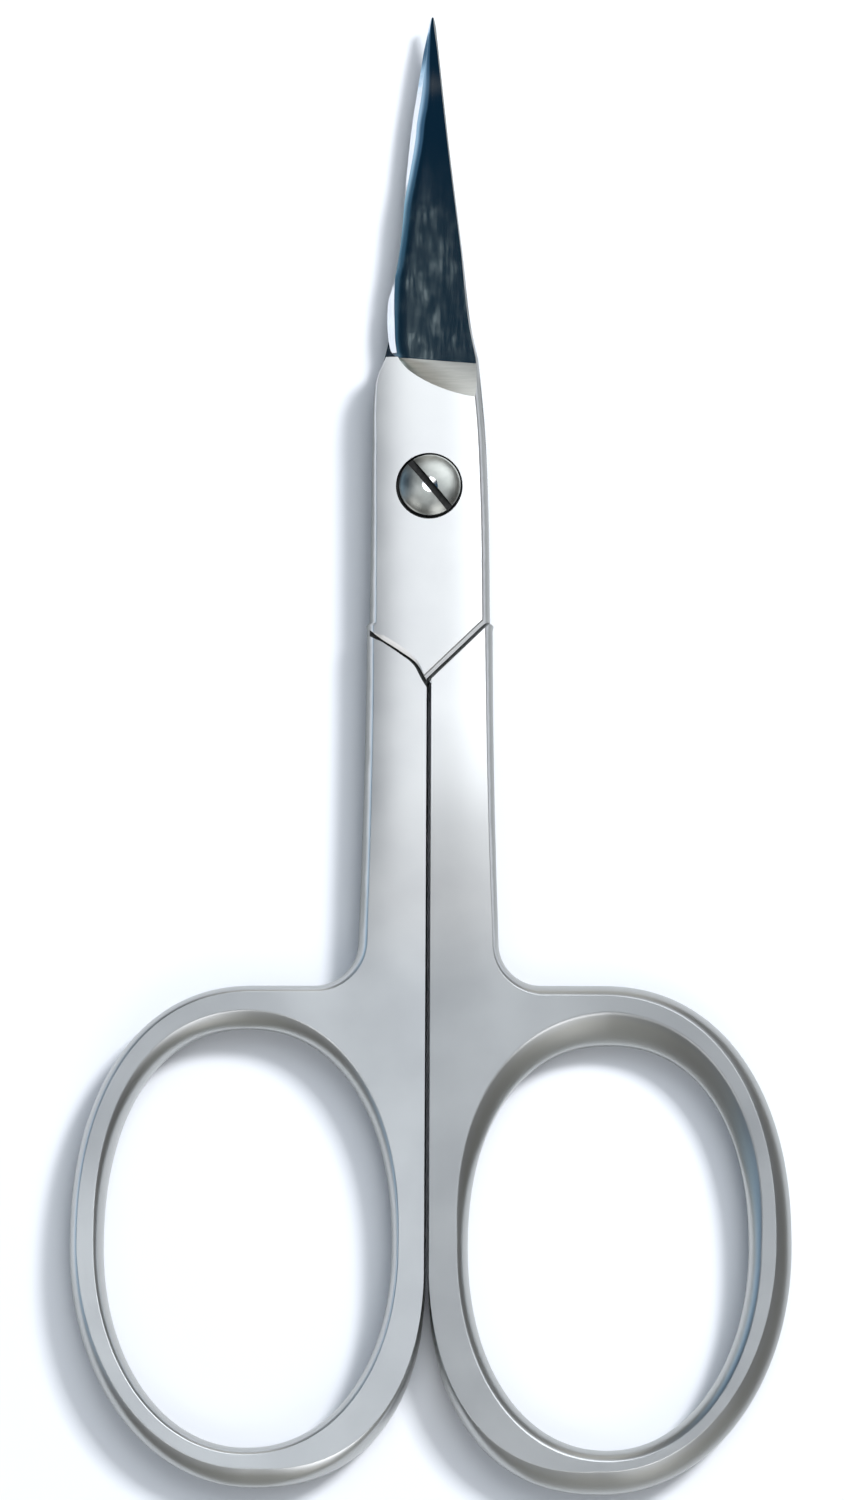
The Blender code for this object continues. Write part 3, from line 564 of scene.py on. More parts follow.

# %% Satin steel
# Tints of painted shade for the sides, the centre gap, the rings and their outer tops.
SIDE_SHADE_TINT, RING_SIDE_SHADE_TINT, GAP_SHADE_TINT = (0.27, 0.275, 0.26), (0.47, 0.475, 0.46), (0.04, 0.04, 0.04)
RING_Y, TOP_X, TOP_Y = (-0.0255, -0.0325), (0.006, 0.014), (-0.047, -0.04)
RING_SHADE_TINT, TOP_SHADE_TINT = (0.975, 1.0, 1.02), (0.76, 0.78, 0.8)
GAP_X, GAP_TOP, GAP_FOOT = (0.00015, 0.00012), (-0.0122, -0.0124), (-0.0492, -0.047)
SIDE_SHADE_DEPTH, SPREAD, GRAIN_SPREAD, GRAIN_HIGH = 0.00032, 0.02, 0.06, 0.0000012


def satin(name, dark, pale, roughness, ring_shade, **crown_values):
    """Blasted steel: clouds slide the tint and roughness of the faces, and grain and crown are the relief.

    The rings take a darker tint at the given share, their outer tops a darker one still, and the sides darker tints;
    the walls along the centre go near black. All of these are painted shade.
    """
    material, tree, shader = surface(name, dark, roughness, Metallic=1.0)
    grain = shared(tree, GRAIN, Scale=9000.0, Cloud_Scale=170.0)
    cloud, height = grain["Cloud"], grain["Height"]
    x, y, _ = axes(tree, position(tree))
    ring = fade(tree, y, *RING_Y)
    top = maths(tree, (fade(tree, ("abs", x), *TOP_X), "*", fade(tree, y, *TOP_Y)))
    # Painted shade: the rings darker by the given share, their outer tops darker still.
    dull = blended(tree, ring, (1.0, 1.0, 1.0), [ring_shade * share for share in RING_SHADE_TINT])
    dull = blended(tree, top, dull, [ring_shade * share for share in TOP_SHADE_TINT])
    face = vectors(tree, "MULTIPLY", blended(tree, fade(tree, cloud, 0.3, 0.7), dark, pale), dull)[0]
    # Painted shade: below the faces' rims the sides take darker tints, darkest on the shanks.
    rim = shared(tree, SIDE_SHADE_MASK, Depth=SIDE_SHADE_DEPTH)["Rim"]
    colour = blended(tree, rim, blended(tree, ring, SIDE_SHADE_TINT, RING_SIDE_SHADE_TINT), face)
    # Painted shade: near black on the walls along the centre gap.
    below = (fade(tree, y, *GAP_TOP), "*", fade(tree, y, *GAP_FOOT))
    gap = maths(tree, (fade(tree, ("abs", x), *GAP_X), "*", below))
    base = fade(tree, cloud, 0.25, 0.75, roughness - SPREAD, roughness + SPREAD)
    rough = maths(tree, (base, "+", ((height, "-", 0.5), "*", GRAIN_SPREAD)))
    relief = maths(tree, ((height, "*", GRAIN_HIGH), "+", shared(tree, CROWN, **crown_values)["Height"]))
    feed(tree, shader, blended(tree, gap, colour, GAP_SHADE_TINT), rough, bump(tree, relief))
    return material


# The back half's rings are given more painted shade than the front's.
SATIN_FRONT = satin("satin_steel_front", (0.64, 0.64, 0.645), (0.7, 0.7, 0.7), 0.33, 0.92, Dish=0.00015)
SATIN_BACK = satin("satin_steel_back", (0.63, 0.63, 0.635), (0.69, 0.69, 0.69), 0.34, 0.8, Lean=0.05, Hump=0.0002)
print("satin:", SATIN_FRONT.name, SATIN_BACK.name)

# %% Ground and polished steel
FACET_TIP, FACET_TEAL_NEAR_BOX, LOW_BLADE = (0.62, 0.66, 0.7), (0.49, 0.58, 0.585), (0.0235, 0.0165)
FACET_ROUGH, LOW_ROUGH, HAZE_ROUGH, GROUND_SPREAD = 0.06, 0.065, 0.13, 0.05


def mirror_facet():
    """Polished facet: roughness low at the tip, streaked and cloudier towards the box, with a faint ripple.
    Its tint turns darker and teal towards the box: a painted reflection.
    """
    material, tree, shader = surface("mirror_facet", FACET_TIP, 0.08, Metallic=1.0)
    streaks = shared(tree, STREAKS, Across=4200.0, Along=700.0)["Height"]
    clouds = shared(tree, GRAIN, Scale=7000.0, Cloud_Scale=900.0)["Cloud"]
    low = fade(tree, axes(tree, position(tree))[1], *LOW_BLADE)
    haze = ((fade(tree, streaks, 0.3, 0.8), "*", fade(tree, clouds, 0.3, 0.7)), "*", low)
    rough = maths(tree, ((haze, "*", HAZE_ROUGH), "+", ((low, "*", LOW_ROUGH), "+", FACET_ROUGH)))
    feed(tree, shader, blended(tree, low, FACET_TIP, FACET_TEAL_NEAR_BOX), rough, bump(tree, streaks, 0.000006, 0.25))
    return material


def ground(name, low, high, roughness, across, along, depth, fall=0.0):
    """Ground steel: streaks slide tint and roughness and are the relief; a face may fall away from the middle."""
    material, tree, shader = surface(name, low, roughness, Metallic=1.0)
    streaks = shared(tree, STREAKS, Across=across, Along=along)["Height"]
    colour = blended(tree, fade(tree, streaks, 0.3, 0.7), low, high)
    spread = fade(tree, streaks, 0.2, 0.8, roughness - GROUND_SPREAD, roughness + GROUND_SPREAD)
    relief = maths(tree, ((streaks, "*", depth / 2), "-", (("abs", axes(tree, position(tree))[0]), "*", fall)))
    feed(tree, shader, colour, spread, bump(tree, relief))
    return material


FACET_STEEL = mirror_facet()
BEVEL_STEEL = ground("bright_bevel", (0.78, 0.8, 0.83), (0.86, 0.88, 0.9), 0.16, 5000.0, 300.0, 0.000004)
RUNOUT_STEEL = ground("runout_ground", (0.42, 0.42, 0.395), (0.49, 0.485, 0.46), 0.42, 700.0, 7000.0, 0.000008)
# The lap face's darker tint is partly its ground finish and partly painted shade for the recess under the other half.
LAP_GROUND_AND_SHADE = ground("lap_ground_and_painted_shade", (0.4, 0.41, 0.42), (0.46, 0.47, 0.48), 0.2, 600.0, 9000.0, 0.000004, 0.2)
# Painted shade: a near-black tint for the gaps, slots, bore and seat, which lie in shade.
GAP_SHADE_STEEL = ground("painted_shade_in_gaps", (0.03, 0.03, 0.03), (0.05, 0.05, 0.05), 0.5, 4000.0, 4000.0, 0.000004)
print("ground:", [m.name for m in (FACET_STEEL, BEVEL_STEEL, RUNOUT_STEEL, LAP_GROUND_AND_SHADE, GAP_SHADE_STEEL)])

# %% Turned steel of the screw
SCREW_DARK, SCREW_PALE, RIDGES = (0.3, 0.31, 0.295), (0.42, 0.43, 0.41), 14000.0


def turned_steel():
    """Lathe-turned metal: ridges follow the distance from the axis, so glints fan out as two bright bows."""
    values = {"Metallic": 1.0, "Anisotropic": 0.75, "Anisotropic Rotation": 0.25}
    material, tree, shader = surface("turned_screw_steel", SCREW_PALE, 0.24, **values)
    flat = vectors(tree, "MULTIPLY", position(tree), (1.0, 1.0, 0.0))[0]
    radius = vectors(tree, "LENGTH", flat)["Value"]
    ring = put(tree, "ShaderNodeCombineXYZ", ((0, maths(tree, (radius, "*", RIDGES))),)).outputs[0]
    cloud = shared(tree, GRAIN, Scale=5000.0, Cloud_Scale=900.0)["Cloud"]
    colour = blended(tree, fade(tree, cloud, 0.35, 0.7), SCREW_DARK, SCREW_PALE)
    rough = fade(tree, cloud, 0.3, 0.7, 0.27, 0.35)
    feed(tree, shader, colour, rough, bump(tree, noise(tree, ring, 1.0, 2.0), 0.000012, 0.4))
    tangent = put(tree, "ShaderNodeTangent", direction_type="RADIAL", axis="Z")
    tree.links.new(tangent.outputs[0], shader.inputs["Tangent"])
    return material


SCREW_STEEL = turned_steel()
print("screw finish:", SCREW_STEEL.name)

# %% [markdown]
# ## The blank of one half
# The plan's loops are stacked from the lapped face to the outer face, with the parting line between.

# %% Blank
LAST_LOOP = (1.04, 1.0, 1.0)


def blank(name, ring, material):
    """Lapped levels from face to middle, then outer levels from middle to face, and a last loop on the face."""
    plan, plan_outer, plan_lapped = join_stretches(half_plan(ring))
    lapped = level_loops(plan, plan_lapped, RIM_LEVELS, -1)[::-1]
    outer = level_loops(plan, plan_outer, np.vstack([RIM_LEVELS, RIM_LEVELS[-1] * LAST_LOOP]), 1)
    return closed_loft(name, np.concatenate([lapped, outer]), material)


print("a blank has", 2 * len(RIM_LEVELS) + 1, "loops")

# %% [markdown]
# ## The finger hole
# The hole is four quarters of a superellipse, a little squarer at the top. It is narrowest at the parting line and
# flares to both faces, so its cutter is the same kind of stack of loops, with the rounding turned outwards.

# %% Hole
PAST_FACE, FACE_LIFT = (0.3, -0.0002, -0.4), 0.000001


def hole_cutter(ring, material):
    """Four quarters about the hole's centre; negative bands make the loops grow towards both faces and past them."""
    side, inner = ring["reach"] - ring["side"] - HOLE_CENTRE, HOLE_CENTRE - ring["inner"] + CENTRE_X
    up, down = RING_MIDDLE - RING_TOP - ring["top"], ring["bottom"] - ring["foot"] - RING_MIDDLE
    outer, lapped = -np.array(OUTER_HOLE), -np.array(LAPPED_HOLE)
    reaches = ((inner, up), (side, up), (side, down), (inner, down))
    stretches = [
        (squarish_quarter((-HOLE_CENTRE, -RING_MIDDLE), reach, full, n), outer[n : n + 2], lapped[n : n + 2])
        for n, (reach, full) in enumerate(zip(reaches, HOLE_FULLNESS))
    ]
    points, outer, lapped = join_stretches(stretches)
    past = np.vstack([HOLE_LEVELS, HOLE_LEVELS[-1] + PAST_FACE])
    low, high = (level_loops(points, bands, past, way, FACE_LIFT) for bands, way in ((lapped, -1), (outer, 1)))
    return closed_loft("hole cutter", np.concatenate([low[::-1], high]), material)


print("the holes' quarters have the fullness", *HOLE_FULLNESS)

# %% [markdown]
# ## Lap recess and bore
# Above the shoulder each half keeps only its own layer, so that the two cross. A prism under the lap plane takes the
# rest away. The bore and the round seat for the screw's head come from a profile turned about the pivot.

# %% Prisms and turned shapes
OVERRUN = 0.001


def prism(name, outline, low, high, material):
    """The outline, repeated at two heights."""
    loops = [np.column_stack([outline, np.full(len(outline), z)]) for z in (low, high)]
    return closed_loft(name, np.stack(loops), material)


def lap_cutter(material):
    """A pentagon with the V of the shoulder as its lower left side, from below the back face to the lap."""
    wide = BOX_HALF + SHOULDER_STEP + OVERRUN
    rise = wide * (SHOULDER_FOOT - SHOULDER_TOP) / BOX_HALF
    top = BLADE_LENGTH + OVERRUN
    outline = [(-wide, rise - SHOULDER_FOOT), (0, -SHOULDER_FOOT), (wide, -SHOULDER_FOOT), (wide, top), (-wide, top)]
    return prism("lap cutter", np.array(outline), -OVERRUN, LAP, material)


def turned_shape(name, profile, material, steps=144):
    """Every (radius, height) of the profile is carried round Z: x = r·cos, y = r·sin; the ends close on the axis."""
    profile = np.asarray(profile, float)
    angle = np.linspace(0.0, 2 * math.pi, steps, endpoint=False)
    ring = np.column_stack([np.cos(angle), np.sin(angle)])
    loops = profile[:, None, :1] * ring[None]
    heights = np.broadcast_to(profile[:, None, 1:], (len(profile), steps, 1))
    return closed_loft(name, np.concatenate([loops, heights], axis=2), material)


print("overrun of the cutters:", OVERRUN * 1000, "mm")

# %% [markdown]
# ## The ground blade
# The wheel leaves three faces on the blade: a bright bevel along the edge, a slightly hollow facet that climbs to
# the spine, and a thin chamfer on the spine. Where it runs out at the box, the facet sweeps up in a curve. All of
# it is the underside of one cutter, a height above the lap given for every pair of (share along, share across).

# %% Widths and heights of the ground faces
BEVEL_HIGH, EDGE_LAND, HOLLOW = 0.00053, 0.00006, 0.00004
CHAMFER_WIDE, CHAMFER_HIGH, ROLL_WIDE, ROOT_SLOPE, SLOPE_GAIN = 0.00008, 0.00012, 0.0008, 0.102, 0.055
BEVEL = ((0.0, 1.0), (0.3, 0.9), (0.6, 0.79), (0.757, 0.74), (0.83, 0.4), (0.9, 0.27), (1.0, 0.16))
ROLL = ((0.0, 0.17), (0.32, 0.25), (0.5, 0.3), (0.68, 0.31), (0.8, 0.28), (1.0, 0.15))
EASE, EASE_STEPS, CUT_PAST = 0.08, 41, 0.0004


def width_along(table, along):
    """Half width read off the smooth line through a blade table, drawn in to half the tip radius at the point."""
    line = smooth_line(blade_knots(table, 1))
    y = np.append(line[:, 1], BLADE_LENGTH)
    x = np.append(line[:, 0], TIP_RADIUS / 2)
    order = np.argsort(y)
    return np.interp(ROOT_Y + along * (BLADE_LENGTH - ROOT_Y), y[order], x[order])


def eased(table, along):
    """A share read off a table: straight between the knots, then averaged over ±EASE with weights 1 + cos."""
    knots, shares = np.array(table).T
    offset = np.linspace(-1.0, 1.0, EASE_STEPS)
    weight = 1 + np.cos(math.pi * offset)
    return (np.interp(along + EASE * offset, knots, shares) * weight).sum(axis=1, keepdims=True) / weight.sum()


def blade_section(along, across):
    """Rows of (x, height over the lap) for each share along: past the edge, edge, facet columns, spine, past it.

    On the facet the height climbs in a straight line to the spine, less a hollow 4·h·s·(1-s), less a roll
    drop·(1 - distance / width of the roll)² that bends the polished border down to the bevel.
    """
    along = np.asarray(along, float)[:, None]
    edge, spine = -width_along(EDGE + HEEL, along), width_along(SPINE, along)
    chamfer = np.minimum(CHAMFER_WIDE, spine / 2)
    facet = np.maximum(-width_along(FACET + FACET_FOOT, along), edge + EDGE_LAND / 2)
    width = spine - chamfer - facet
    roll = np.minimum(ROLL_WIDE, width / 2)
    bevel = BEVEL_HIGH * eased(BEVEL, along)
    start = bevel + roll * eased(ROLL, along)
    top = start + width * (ROOT_SLOPE + SLOPE_GAIN * along**2)
    x = facet + across * width
    fall = (start - bevel) * np.maximum(1 - across * width / roll, 0) ** 2
    z = start + across * (top - start) - fall - 4 * HOLLOW * across * (1 - across) * (1 - along)
    foot = top - CHAMFER_HIGH
    xs = np.hstack([edge - CUT_PAST, edge, x, spine, spine + CUT_PAST])
    land = np.full_like(edge, EDGE_LAND)
    return xs, np.hstack([np.full_like(edge, EDGE_LAND - CUT_PAST), land, z, foot, foot - CUT_PAST])


print("the bevel is", BEVEL_HIGH * 1000, "mm high at the heel")

# %% The wheel's cutter
RUN_LONG, RUN_SLANT, RUN_LIP, RUN_FULL, RUN_RISE = 0.0022, 0.0005, 0.00002, 1.7, 1.4
ACROSS_STEPS, ACROSS_CROWD, ALONG_STEPS, ALONG_END, RUN_STEPS, RUN_END = 60, 1.3, 150, 0.004, 26, 1.25


def grinding_cutter(materials):
    """The blade's rows from past the tip to the root, then the runout's rows, closed by a flat top above."""
    across = np.linspace(0.0, 1.0, ACROSS_STEPS) ** ACROSS_CROWD
    along = np.concatenate([[1.0], np.linspace(1.0, ALONG_END, ALONG_STEPS)])
    x, z = blade_section(along, across)
    y = ROOT_Y + along[:, None] * (BLADE_LENGTH - ROOT_Y) + np.zeros_like(x)
    y[0] += OVERRUN
    root_x, root_z = blade_section([0.0], across)
    share = np.clip((root_x - root_x[:, 2:3]) / (root_x[:, -2:-1] - root_x[:, 2:3]), 0, 1)
    run = np.maximum(RUN_LONG * (1 - (1 - share) ** RUN_FULL) ** (1 / RUN_FULL), RUN_LIP)
    level = np.linspace(0.0, RUN_END, RUN_STEPS)[:, None]
    foot = LAP + np.maximum(root_z, EDGE_LAND)
    run_y = ROOT_Y + 4 * RUN_LIP - RUN_SLANT * share - level * run
    run_z = foot + (THICKNESS - foot) * level**RUN_RISE
    pairs = ((x, np.broadcast_to(root_x, run_y.shape)), (y, run_y), (z + LAP, run_z))
    grid = np.stack([np.vstack(pair) for pair in pairs], axis=-1)
    rows, columns = grid.shape[:2]
    roof = grid.copy()
    roof[..., 2] = THICKNESS + OVERRUN
    low = np.arange(rows * columns).reshape(rows, columns)
    under = np.stack([low[:-1, :-1], low[:-1, 1:], low[1:, 1:], low[1:, :-1]], axis=-1).reshape(-1, 4)
    rim = np.concatenate([low[0, :-1], low[:-1, -1], low[-1, :0:-1], low[:0:-1, 0]])
    rim_next = np.roll(rim, -1)
    wall = np.column_stack([rim, rim_next, rim_next + rows * columns, rim + rows * columns])
    finish = np.ones((rows - 1, columns - 1), int)
    finish[:, :2] = 2
    finish[:, -2:] = 0
    finish[len(along) :, :] = 3
    slots = np.concatenate([finish.ravel(), np.zeros(finish.size + len(wall), int)])
    faces = np.concatenate([under, under + rows * columns, wall]).tolist()
    points = np.concatenate([grid.reshape(-1, 3), roof.reshape(-1, 3)])
    return mesh_object("grinding cutter", points, faces, materials, slots)


print("the runout is", RUN_LONG * 1000, "mm long")

# %% [markdown]
# ## The groove across the shank
# On the outer face a groove carries the line of the shoulder across the forging, so that the closed scissors show
# one V. A gentle lip falls from the box into a narrow slot. The lip is widest halfway, and the slot opens into a
# notch at the side and grows again towards the point of the V. It is a moulding whose widths change along its path.

# %% Groove
GROOVE = ((-0.06, -0.12), (0.037, 0.014), (0.22, 0.317), (0.487, 0.523), (0.888, 0.8), (1.25, 1.17))
LIP_WIDTH = ((0.0, 0.00004), (0.3, 0.00006), (0.5, 0.00022), (0.6, 0.00028), (0.75, 0.00028))
LIP_WIDTH += ((0.8, 0.00006), (1.0, 0.00005))
SLOT_WIDTH = ((0.0, 0.00028), (0.3, 0.00022), (0.5, 0.00016), (0.74, 0.00012), (0.82, 0.00028), (1.0, 0.0005))
LIP_SLOPE, SLOT_DOWN, WALL_LEAN, FACE_OVERRUN, GROOVE_STEPS = 0.32, 0.0003, (0.00001, 0.00002), 0.0001, 12


def groove_cutter(materials):
    """At each point of the path: (side, height) of the lip, the slot's two walls and a lid, widths read off tables.

    The lip has the first material; the slot and its walls have the second, a near-black painted shade.
    """
    knots = [(-x * BOX_HALF, -SHOULDER_FOOT + y * (SHOULDER_FOOT - SHOULDER_TOP)) for x, y in GROOVE]
    path = smooth_line(knots, GROOVE_STEPS)
    ahead = np.gradient(path, axis=0)
    ahead /= np.linalg.norm(ahead, axis=1)[:, None]
    to_box = np.column_stack([-ahead[:, 1], ahead[:, 0]])
    to_box *= np.sign(to_box[:, 1:])
    share = np.linspace(0.0, 1.0, len(path))
    lip, slot = (np.interp(share, *np.array(table).T) for table in (LIP_WIDTH, SLOT_WIDTH))
    flat = np.zeros(len(path))
    over, down = flat + FACE_OVERRUN, flat - SLOT_DOWN
    sides = np.column_stack([lip + over / LIP_SLOPE, flat, flat - WALL_LEAN[0], -slot, -slot - WALL_LEAN[1]])
    depths = np.column_stack([over, -lip * LIP_SLOPE, down, down, over])
    places = path[:, None, :] + sides[:, :, None] * to_box[:, None, :]
    grid = np.concatenate([places, THICKNESS + depths[:, :, None]], axis=2)
    return closed_loft("groove cutter", grid, materials, (0, 1, 1, 1, 0))


print("the slot opens to", max(width for _, width in SLOT_WIDTH) * 1000, "mm at the point of the V")

# %% Chamfer of the shoulder
CHAMFER_PROFILE = ((0.000505, 0.0001), (0.00028, -0.000055), (-0.0002, -0.00012), (-0.0002, 0.0001))
SHOULDER_PAST = 0.0006


def shoulder_cutter(material):
    """A moulding along the V: (inward, height over the face) gives a small dark step and then a gentle slope."""
    end = (BOX_HALF + SHOULDER_PAST, RISE * SHOULDER_PAST - SHOULDER_TOP + LIFT)
    inward = np.array([-RISE, 1.0]) / math.hypot(1.0, RISE)
    into, height = np.array(CHAMFER_PROFILE).T
    rows = [np.column_stack([np.add(point, into[:, None] * inward), THICKNESS + height]) for point in (APEX, end)]
    return closed_loft("shoulder cutter", np.stack(rows), material)


print("the shoulder rises by", round(RISE, 3), "across the box")

# %% [markdown]
# ## Screw
# A slotted screw holds the halves. Its domed head sits in a round seat, a hair below the face at the rim, and its
# end is flush with the back. It is one turned profile, with the slot cut across by a prism.

# %% Screw sizes and profile
HEAD_RADIUS, HEAD_BELOW, HEAD_DOME, HEAD_GAP, DOME_STEPS = 0.00194, 0.0001, 0.00036, 0.00006, 26
HEAD_BEVEL, BEVEL_DEEP, BEVEL_TURN = 0.00008, 0.00007, 60
SCREW_RADIUS, THREAD_RADIUS, SEAT_DEEP, CLEAR = 0.00125, 0.0011, 0.0005, 0.00008
THREAD_END = ((0.00016, 0.0), (0.00004, 0.00005), (0.0, 0.00014))
SEAT_SHARE, SEAT_ROUND, SEAT_REACH, SEAT_TURN, CORNER_STEPS = 1.2, 0.00006, 0.0000605, 84, 6
SLOT_WIDE, SLOT_DEEP, SLOT_TURN = 0.00044, 0.00042, -50.0
MOUTH_LONG, MOUTH_WIDE, MOUTH_SLOPE, MOUTH_STEPS = 0.0007, 0.00046, 0.27, 21
NEARLY_NONE = 0.00001
PLAY = (-0.00004, -0.00006, 0.0)


def seat_profile():
    """Bore, then the seat with a small rounded mouth where the face was cut."""
    floor, mouth = THICKNESS - SEAT_DEEP, HEAD_RADIUS + SEAT_SHARE * CLEAR
    turn = np.radians(np.linspace(0, SEAT_TURN, CORNER_STEPS))
    height = THICKNESS - SEAT_ROUND + SEAT_REACH * np.sin(turn)
    lip = np.column_stack([mouth + SEAT_ROUND * (1 - np.cos(turn)), height])
    ends = [(SCREW_RADIUS + CLEAR, -OVERRUN), (SCREW_RADIUS + CLEAR, floor), (mouth, floor)]
    return np.vstack([ends, lip, lip[-1] + (0.0, OVERRUN)])


def dome_height(radius):
    """The head's cushion dome: rim + dome·(1 - (r / R)⁴)."""
    return THICKNESS - HEAD_BELOW + HEAD_DOME * (1 - (radius / HEAD_RADIUS) ** 4)


def screw_profile():
    """Thread end, neck, under side of the head, bevelled rim and dome."""
    radius = np.linspace(HEAD_RADIUS - HEAD_BEVEL, NEARLY_NONE, DOME_STEPS)
    dome = np.column_stack([radius, dome_height(radius)])
    turn = np.radians(np.linspace(0, BEVEL_TURN, CORNER_STEPS))
    height = dome[0, 1] - BEVEL_DEEP + BEVEL_DEEP * np.sin(turn) / math.sin(math.radians(BEVEL_TURN))
    bevel = np.column_stack([HEAD_RADIUS - HEAD_BEVEL * (1 - np.cos(turn)), height])[:-1]
    under, middle = THICKNESS - SEAT_DEEP + HEAD_GAP, THICKNESS / 2
    shaft = [(NEARLY_NONE, 0.0), *((THREAD_RADIUS - inward, height) for inward, height in THREAD_END)]
    shaft += [(THREAD_RADIUS, middle), (SCREW_RADIUS, middle), (SCREW_RADIUS, under), (HEAD_RADIUS, under)]
    return np.vstack([shaft, bevel, dome])


def slot_mouth():
    """Where drivers wore the slot: a shallow V along it, whose half width swells as 1 - t² towards the axis."""
    share = np.linspace(-1.0, 1.0, MOUTH_STEPS)
    x = share * MOUTH_LONG
    half = MOUTH_WIDE * (1 - share**2) + NEARLY_NONE
    top = dome_height(np.abs(x))
    side, over = half + FACE_OVERRUN / MOUTH_SLOPE, top + FACE_OVERRUN
    points = [(x, -side, over), (x, 0 * x, top - half * MOUTH_SLOPE), (x, side, over)]
    return closed_loft("slot mouth", np.stack([np.column_stack(point) for point in points], axis=1), BEVEL_STEEL)


print("the head stands", round((HEAD_DOME - HEAD_BELOW) * 1000, 2), "mm over the face")

# %% [markdown]
# ## Assemble
# The front half keeps its outer face up. The back half is the same forging turned over about Y: x and z change
# sign, which is a half turn and not a mirror, so its faces still look outwards.

# %% Forge both halves
HALF_CREASE, SCREW_CREASE = 14, 25


def bore_cutter(profile):
    """The turned bore or seat, a hair towards the lower left, so that the gap round the head is wider there.
    Its walls take the near-black painted shade.
    """
    cutter = turned_shape("bore", profile, GAP_SHADE_STEEL)
    cutter.data.transform(Matrix.Translation(PLAY))
    return cutter


def forge(name, ring, satin_steel, bore):
    """Blank less groove, shoulder, bore, hole, lap and grinding; the finest cut comes last."""
    half = blank(name, ring, satin_steel)
    cutters = [
        groove_cutter([satin_steel, GAP_SHADE_STEEL]),
        shoulder_cutter(satin_steel),
        bore_cutter(bore),
        hole_cutter(ring, satin_steel),
        lap_cutter(LAP_GROUND_AND_SHADE),
        grinding_cutter([satin_steel, FACET_STEEL, BEVEL_STEEL, RUNOUT_STEEL]),
    ]
    carve(half, cutters)
    print(name, len(half.data.polygons), "faces", [m.name for m in half.data.materials if m])
    return half


front = forge("front_half_steel", FRONT_RING, SATIN_FRONT, seat_profile())
bore = [(THREAD_RADIUS + CLEAR, -OVERRUN), (THREAD_RADIUS + CLEAR, 2 * THICKNESS)]
back = forge("back_half_steel", BACK_RING, SATIN_BACK, bore)
back.data.transform(Matrix.Translation((0, 0, THICKNESS)) @ Matrix.Rotation(math.pi, 4, "Y"))
for half in (front, back):
    crease(half, HALF_CREASE)

# %% Make the screw
screw = turned_shape("turned_screw", screw_profile(), SCREW_STEEL)
slot_box = np.array([(-1, -1), (1, -1), (1, 1), (-1, 1)]) * (HEAD_RADIUS + OVERRUN, SLOT_WIDE / 2)
head_top = THICKNESS - HEAD_BELOW + HEAD_DOME
# The slot's walls take the near-black painted shade of the gaps.
slot = prism("slot cutter", slot_box, head_top - SLOT_DEEP, head_top + OVERRUN, GAP_SHADE_STEEL)
slot_cutters = [slot_mouth(), slot]
for cutter in slot_cutters:
    cutter.data.transform(Matrix.Rotation(math.radians(SLOT_TURN), 4, "Z"))
carve(screw, slot_cutters)
crease(screw, SCREW_CREASE)
print("screw", len(screw.data.polygons), "faces")

# %% [markdown]
# ## Joining the frame
# Each piece rides on the body that it belongs to and stands for its solid, which then isn't shown.

# %% Ride and replace
for piece, body, node, slot in (
    (front, "front", "front_half", "satin_steel"),
    (back, "back", "back_half", "satin_steel"),
    (screw, "back", "pivot_screw", "screw_steel"),
):
    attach(piece, body)
    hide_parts(node)
print("riding:", front.name, back.name, screw.name)

# %% [markdown]
# ## Table, light and camera
# The scissors lie on a white table under a soft lamp from the upper right, whose shadow falls to the lower left.
# Steel shows what stands around it, so the sky carries wide patches: white above the tips, blue-black over the
# blade's facet, pale near the table.

# %% Floor
TABLE_SIZE, TABLE_TINT = 16.0, (0.705, 0.73, 0.78)


def floor():
    """A wide square under the scissors, nearly white and a little cool."""
    material = surface("white_table", TABLE_TINT, 0.7, Specular_IOR_Level=0.2)[0]
    square = np.array([(-1, -1, 0), (1, -1, 0), (1, 1, 0), (-1, 1, 0)]) * (TABLE_SIZE / 2)
    return mesh_object("table", square, [[0, 1, 2, 3]], material)


floor()
print("the table is", TABLE_SIZE, "m wide")

# %% Sky
SKY = (0.18, 0.18, 0.175)
PATCHES = (
    # direction, inner and outer half angle in degrees, colour, strength
    ((0.05, 0.97, 0.2), 14, 26, (1.0, 0.97, 0.9), 0.8),
    ((0.1, 0.05, 1.0), 16, 34, (0.94, 1.0, 1.06), 0.4),
    ((0.2, 0.42, 0.885), 12, 26, (0.95, 0.99, 1.02), 3.4),
    ((0.2, -0.85, 0.36), 20, 50, (0.98, 1.0, 0.96), 0.34),
    ((0.27, -0.86, 0.43), 5, 11, (1.0, 1.0, 1.0), 1.2),
    ((0.22, -0.58, 0.78), 7, 17, (1.0, 1.0, 1.0), 3.2),
    ((-0.38, -0.3, 0.87), 7, 14, (1.0, 1.0, 1.0), 2.2),
    ((-0.95, 0.22, 0.19), 8, 20, (0.98, 1.0, 1.02), 1.6),
    ((-0.86, 0.2, 0.47), 0, 34, (0.5, 0.76, 1.0), 0.95),
    ((-0.66, 0.25, 0.71), 8, 24, (0.25, 0.6, 1.0), 0.24),
    ((-0.38, 0.24, 0.89), 12, 22, (0.1, 0.5, 1.0), 0.05),
)


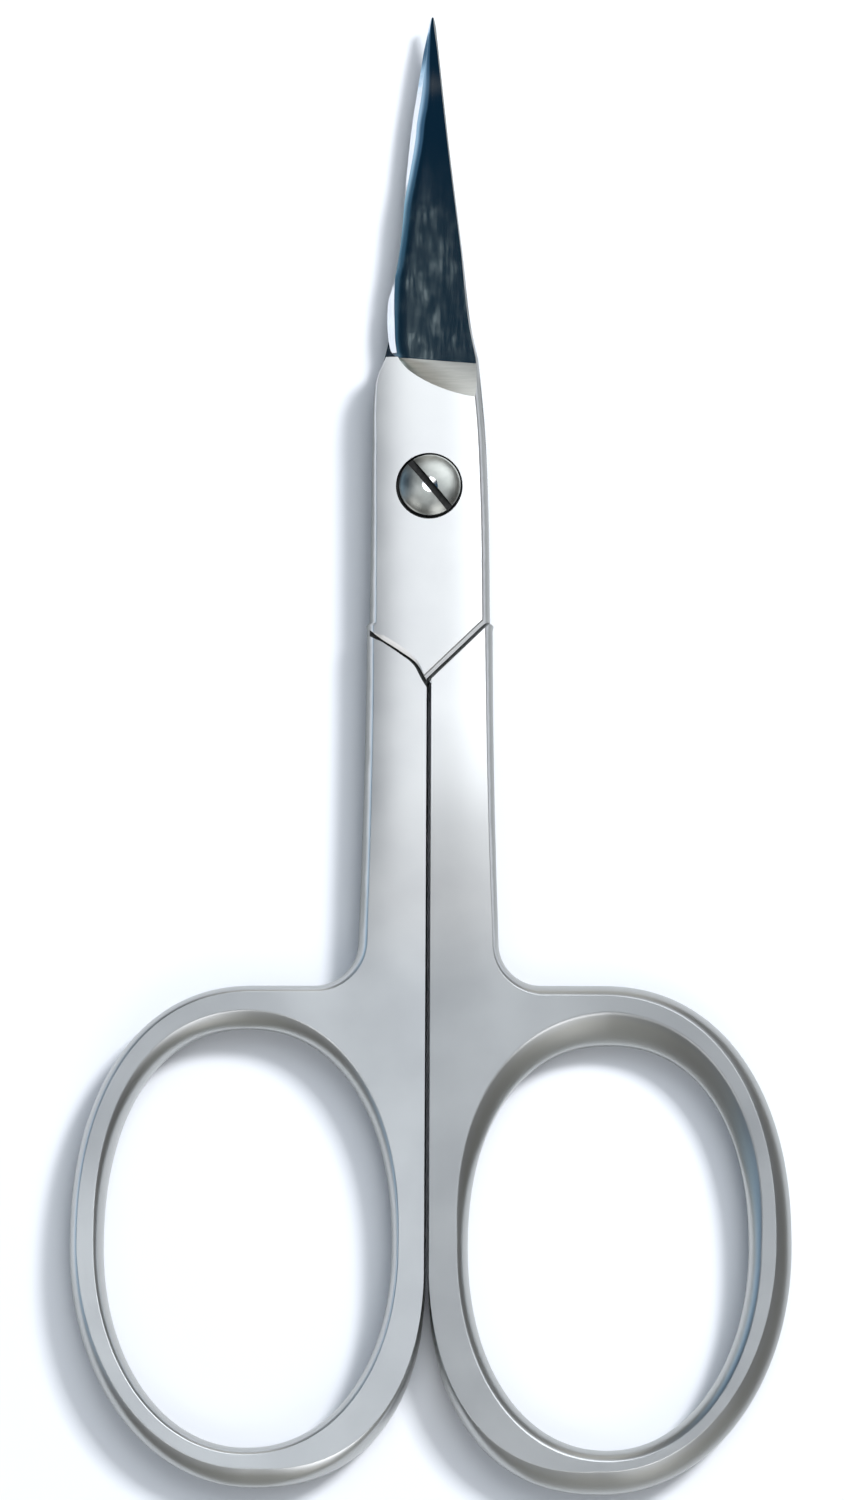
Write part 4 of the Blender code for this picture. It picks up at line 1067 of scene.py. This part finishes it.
def sky():
    """The world's colour by direction: each patch is mixed in by a smooth step of the angle to its middle."""
    world = bpy.data.worlds.new("studio_sky")
    bpy.context.scene.world = world
    world.use_nodes = True
    tree = world.node_tree
    tree.nodes.clear()
    way = put(tree, "ShaderNodeTexCoord").outputs["Generated"]
    colour = put(tree, "ShaderNodeRGB").outputs[0]
    colour.default_value = (*SKY, 1.0)
    for direction, inner, outer, tint, strength in PATCHES:
        near = vectors(tree, "DOT_PRODUCT", way, Vector(direction).normalized())["Value"]
        mask = fade(tree, near, math.cos(math.radians(outer)), math.cos(math.radians(inner)))
        colour = blended(tree, mask, colour, [c * strength for c in tint])
    light = put(tree, "ShaderNodeBackground", (("Color", colour),))
    out = put(tree, "ShaderNodeOutputWorld")
    tree.links.new(light.outputs[0], out.inputs["Surface"])


sky()
print("patches in the sky:", len(PATCHES))

# %% Lamp
LAMP_AIM = (0, -0.015, 0)


def soft_lamp(name, azimuth, elevation, distance, size, watts):
    """A square lamp that looks at the shanks; azimuth is from +Y towards +X, both in degrees."""
    lamp = bpy.data.lights.new(name, "AREA")
    lamp.shape, lamp.size, lamp.energy = "SQUARE", size, watts
    item = new_object(name, lamp)
    a, e = math.radians(azimuth), math.radians(elevation)
    way = Vector((math.cos(e) * math.sin(a), math.cos(e) * math.cos(a), math.sin(e)))
    item.location = Vector(LAMP_AIM) + way * distance
    item.rotation_euler = way.to_track_quat("Z", "Y").to_euler()
    item.visible_glossy = False
    return item


key = soft_lamp("key_lamp", 50, 46, 0.8, 0.17, 6.8)
print(key.name, "stands", round(key.location.z, 2), "m up")

# %% Camera
TARGET, TILT, SIDE, ROLL_ANGLE, DISTANCE = (-0.00046, -0.01653, 0.0016), 8.0, 1.5, 0.271, 0.45
FOCAL_PIXELS, FRAME_PIXELS, FILM, NEAR = 7206.0, 1500, 36.0, 0.01


def aim_camera():
    """The camera stands tilt degrees towards -Y and side degrees towards +X of straight above, turned by the roll."""
    back = np.array([math.sin(math.radians(SIDE)), -math.sin(math.radians(TILT)), 0.0])
    back[2] = math.sqrt(1 - back @ back)
    up = np.array([0.0, 1.0, 0.0]) - back[1] * back
    up /= np.linalg.norm(up)
    right = np.cross(up, back)
    turn = math.radians(ROLL_ANGLE)
    cosine, sine = math.cos(turn), math.sin(turn)
    frame_axes = np.column_stack([cosine * right + sine * up, cosine * up - sine * right, back])
    data = bpy.data.cameras.new("camera")
    data.sensor_fit, data.sensor_height, data.clip_start = "VERTICAL", FILM, NEAR
    data.lens = FOCAL_PIXELS * FILM / FRAME_PIXELS
    item = new_object("camera", data)
    place = Matrix.Translation(np.array(TARGET) + back * DISTANCE)
    item.matrix_world = place @ Matrix(frame_axes.tolist()).to_4x4()
    bpy.context.scene.camera = item
    print("lens", round(data.lens, 1), "mm")


aim_camera()
bpy.context.scene.view_settings.view_transform = "Standard"
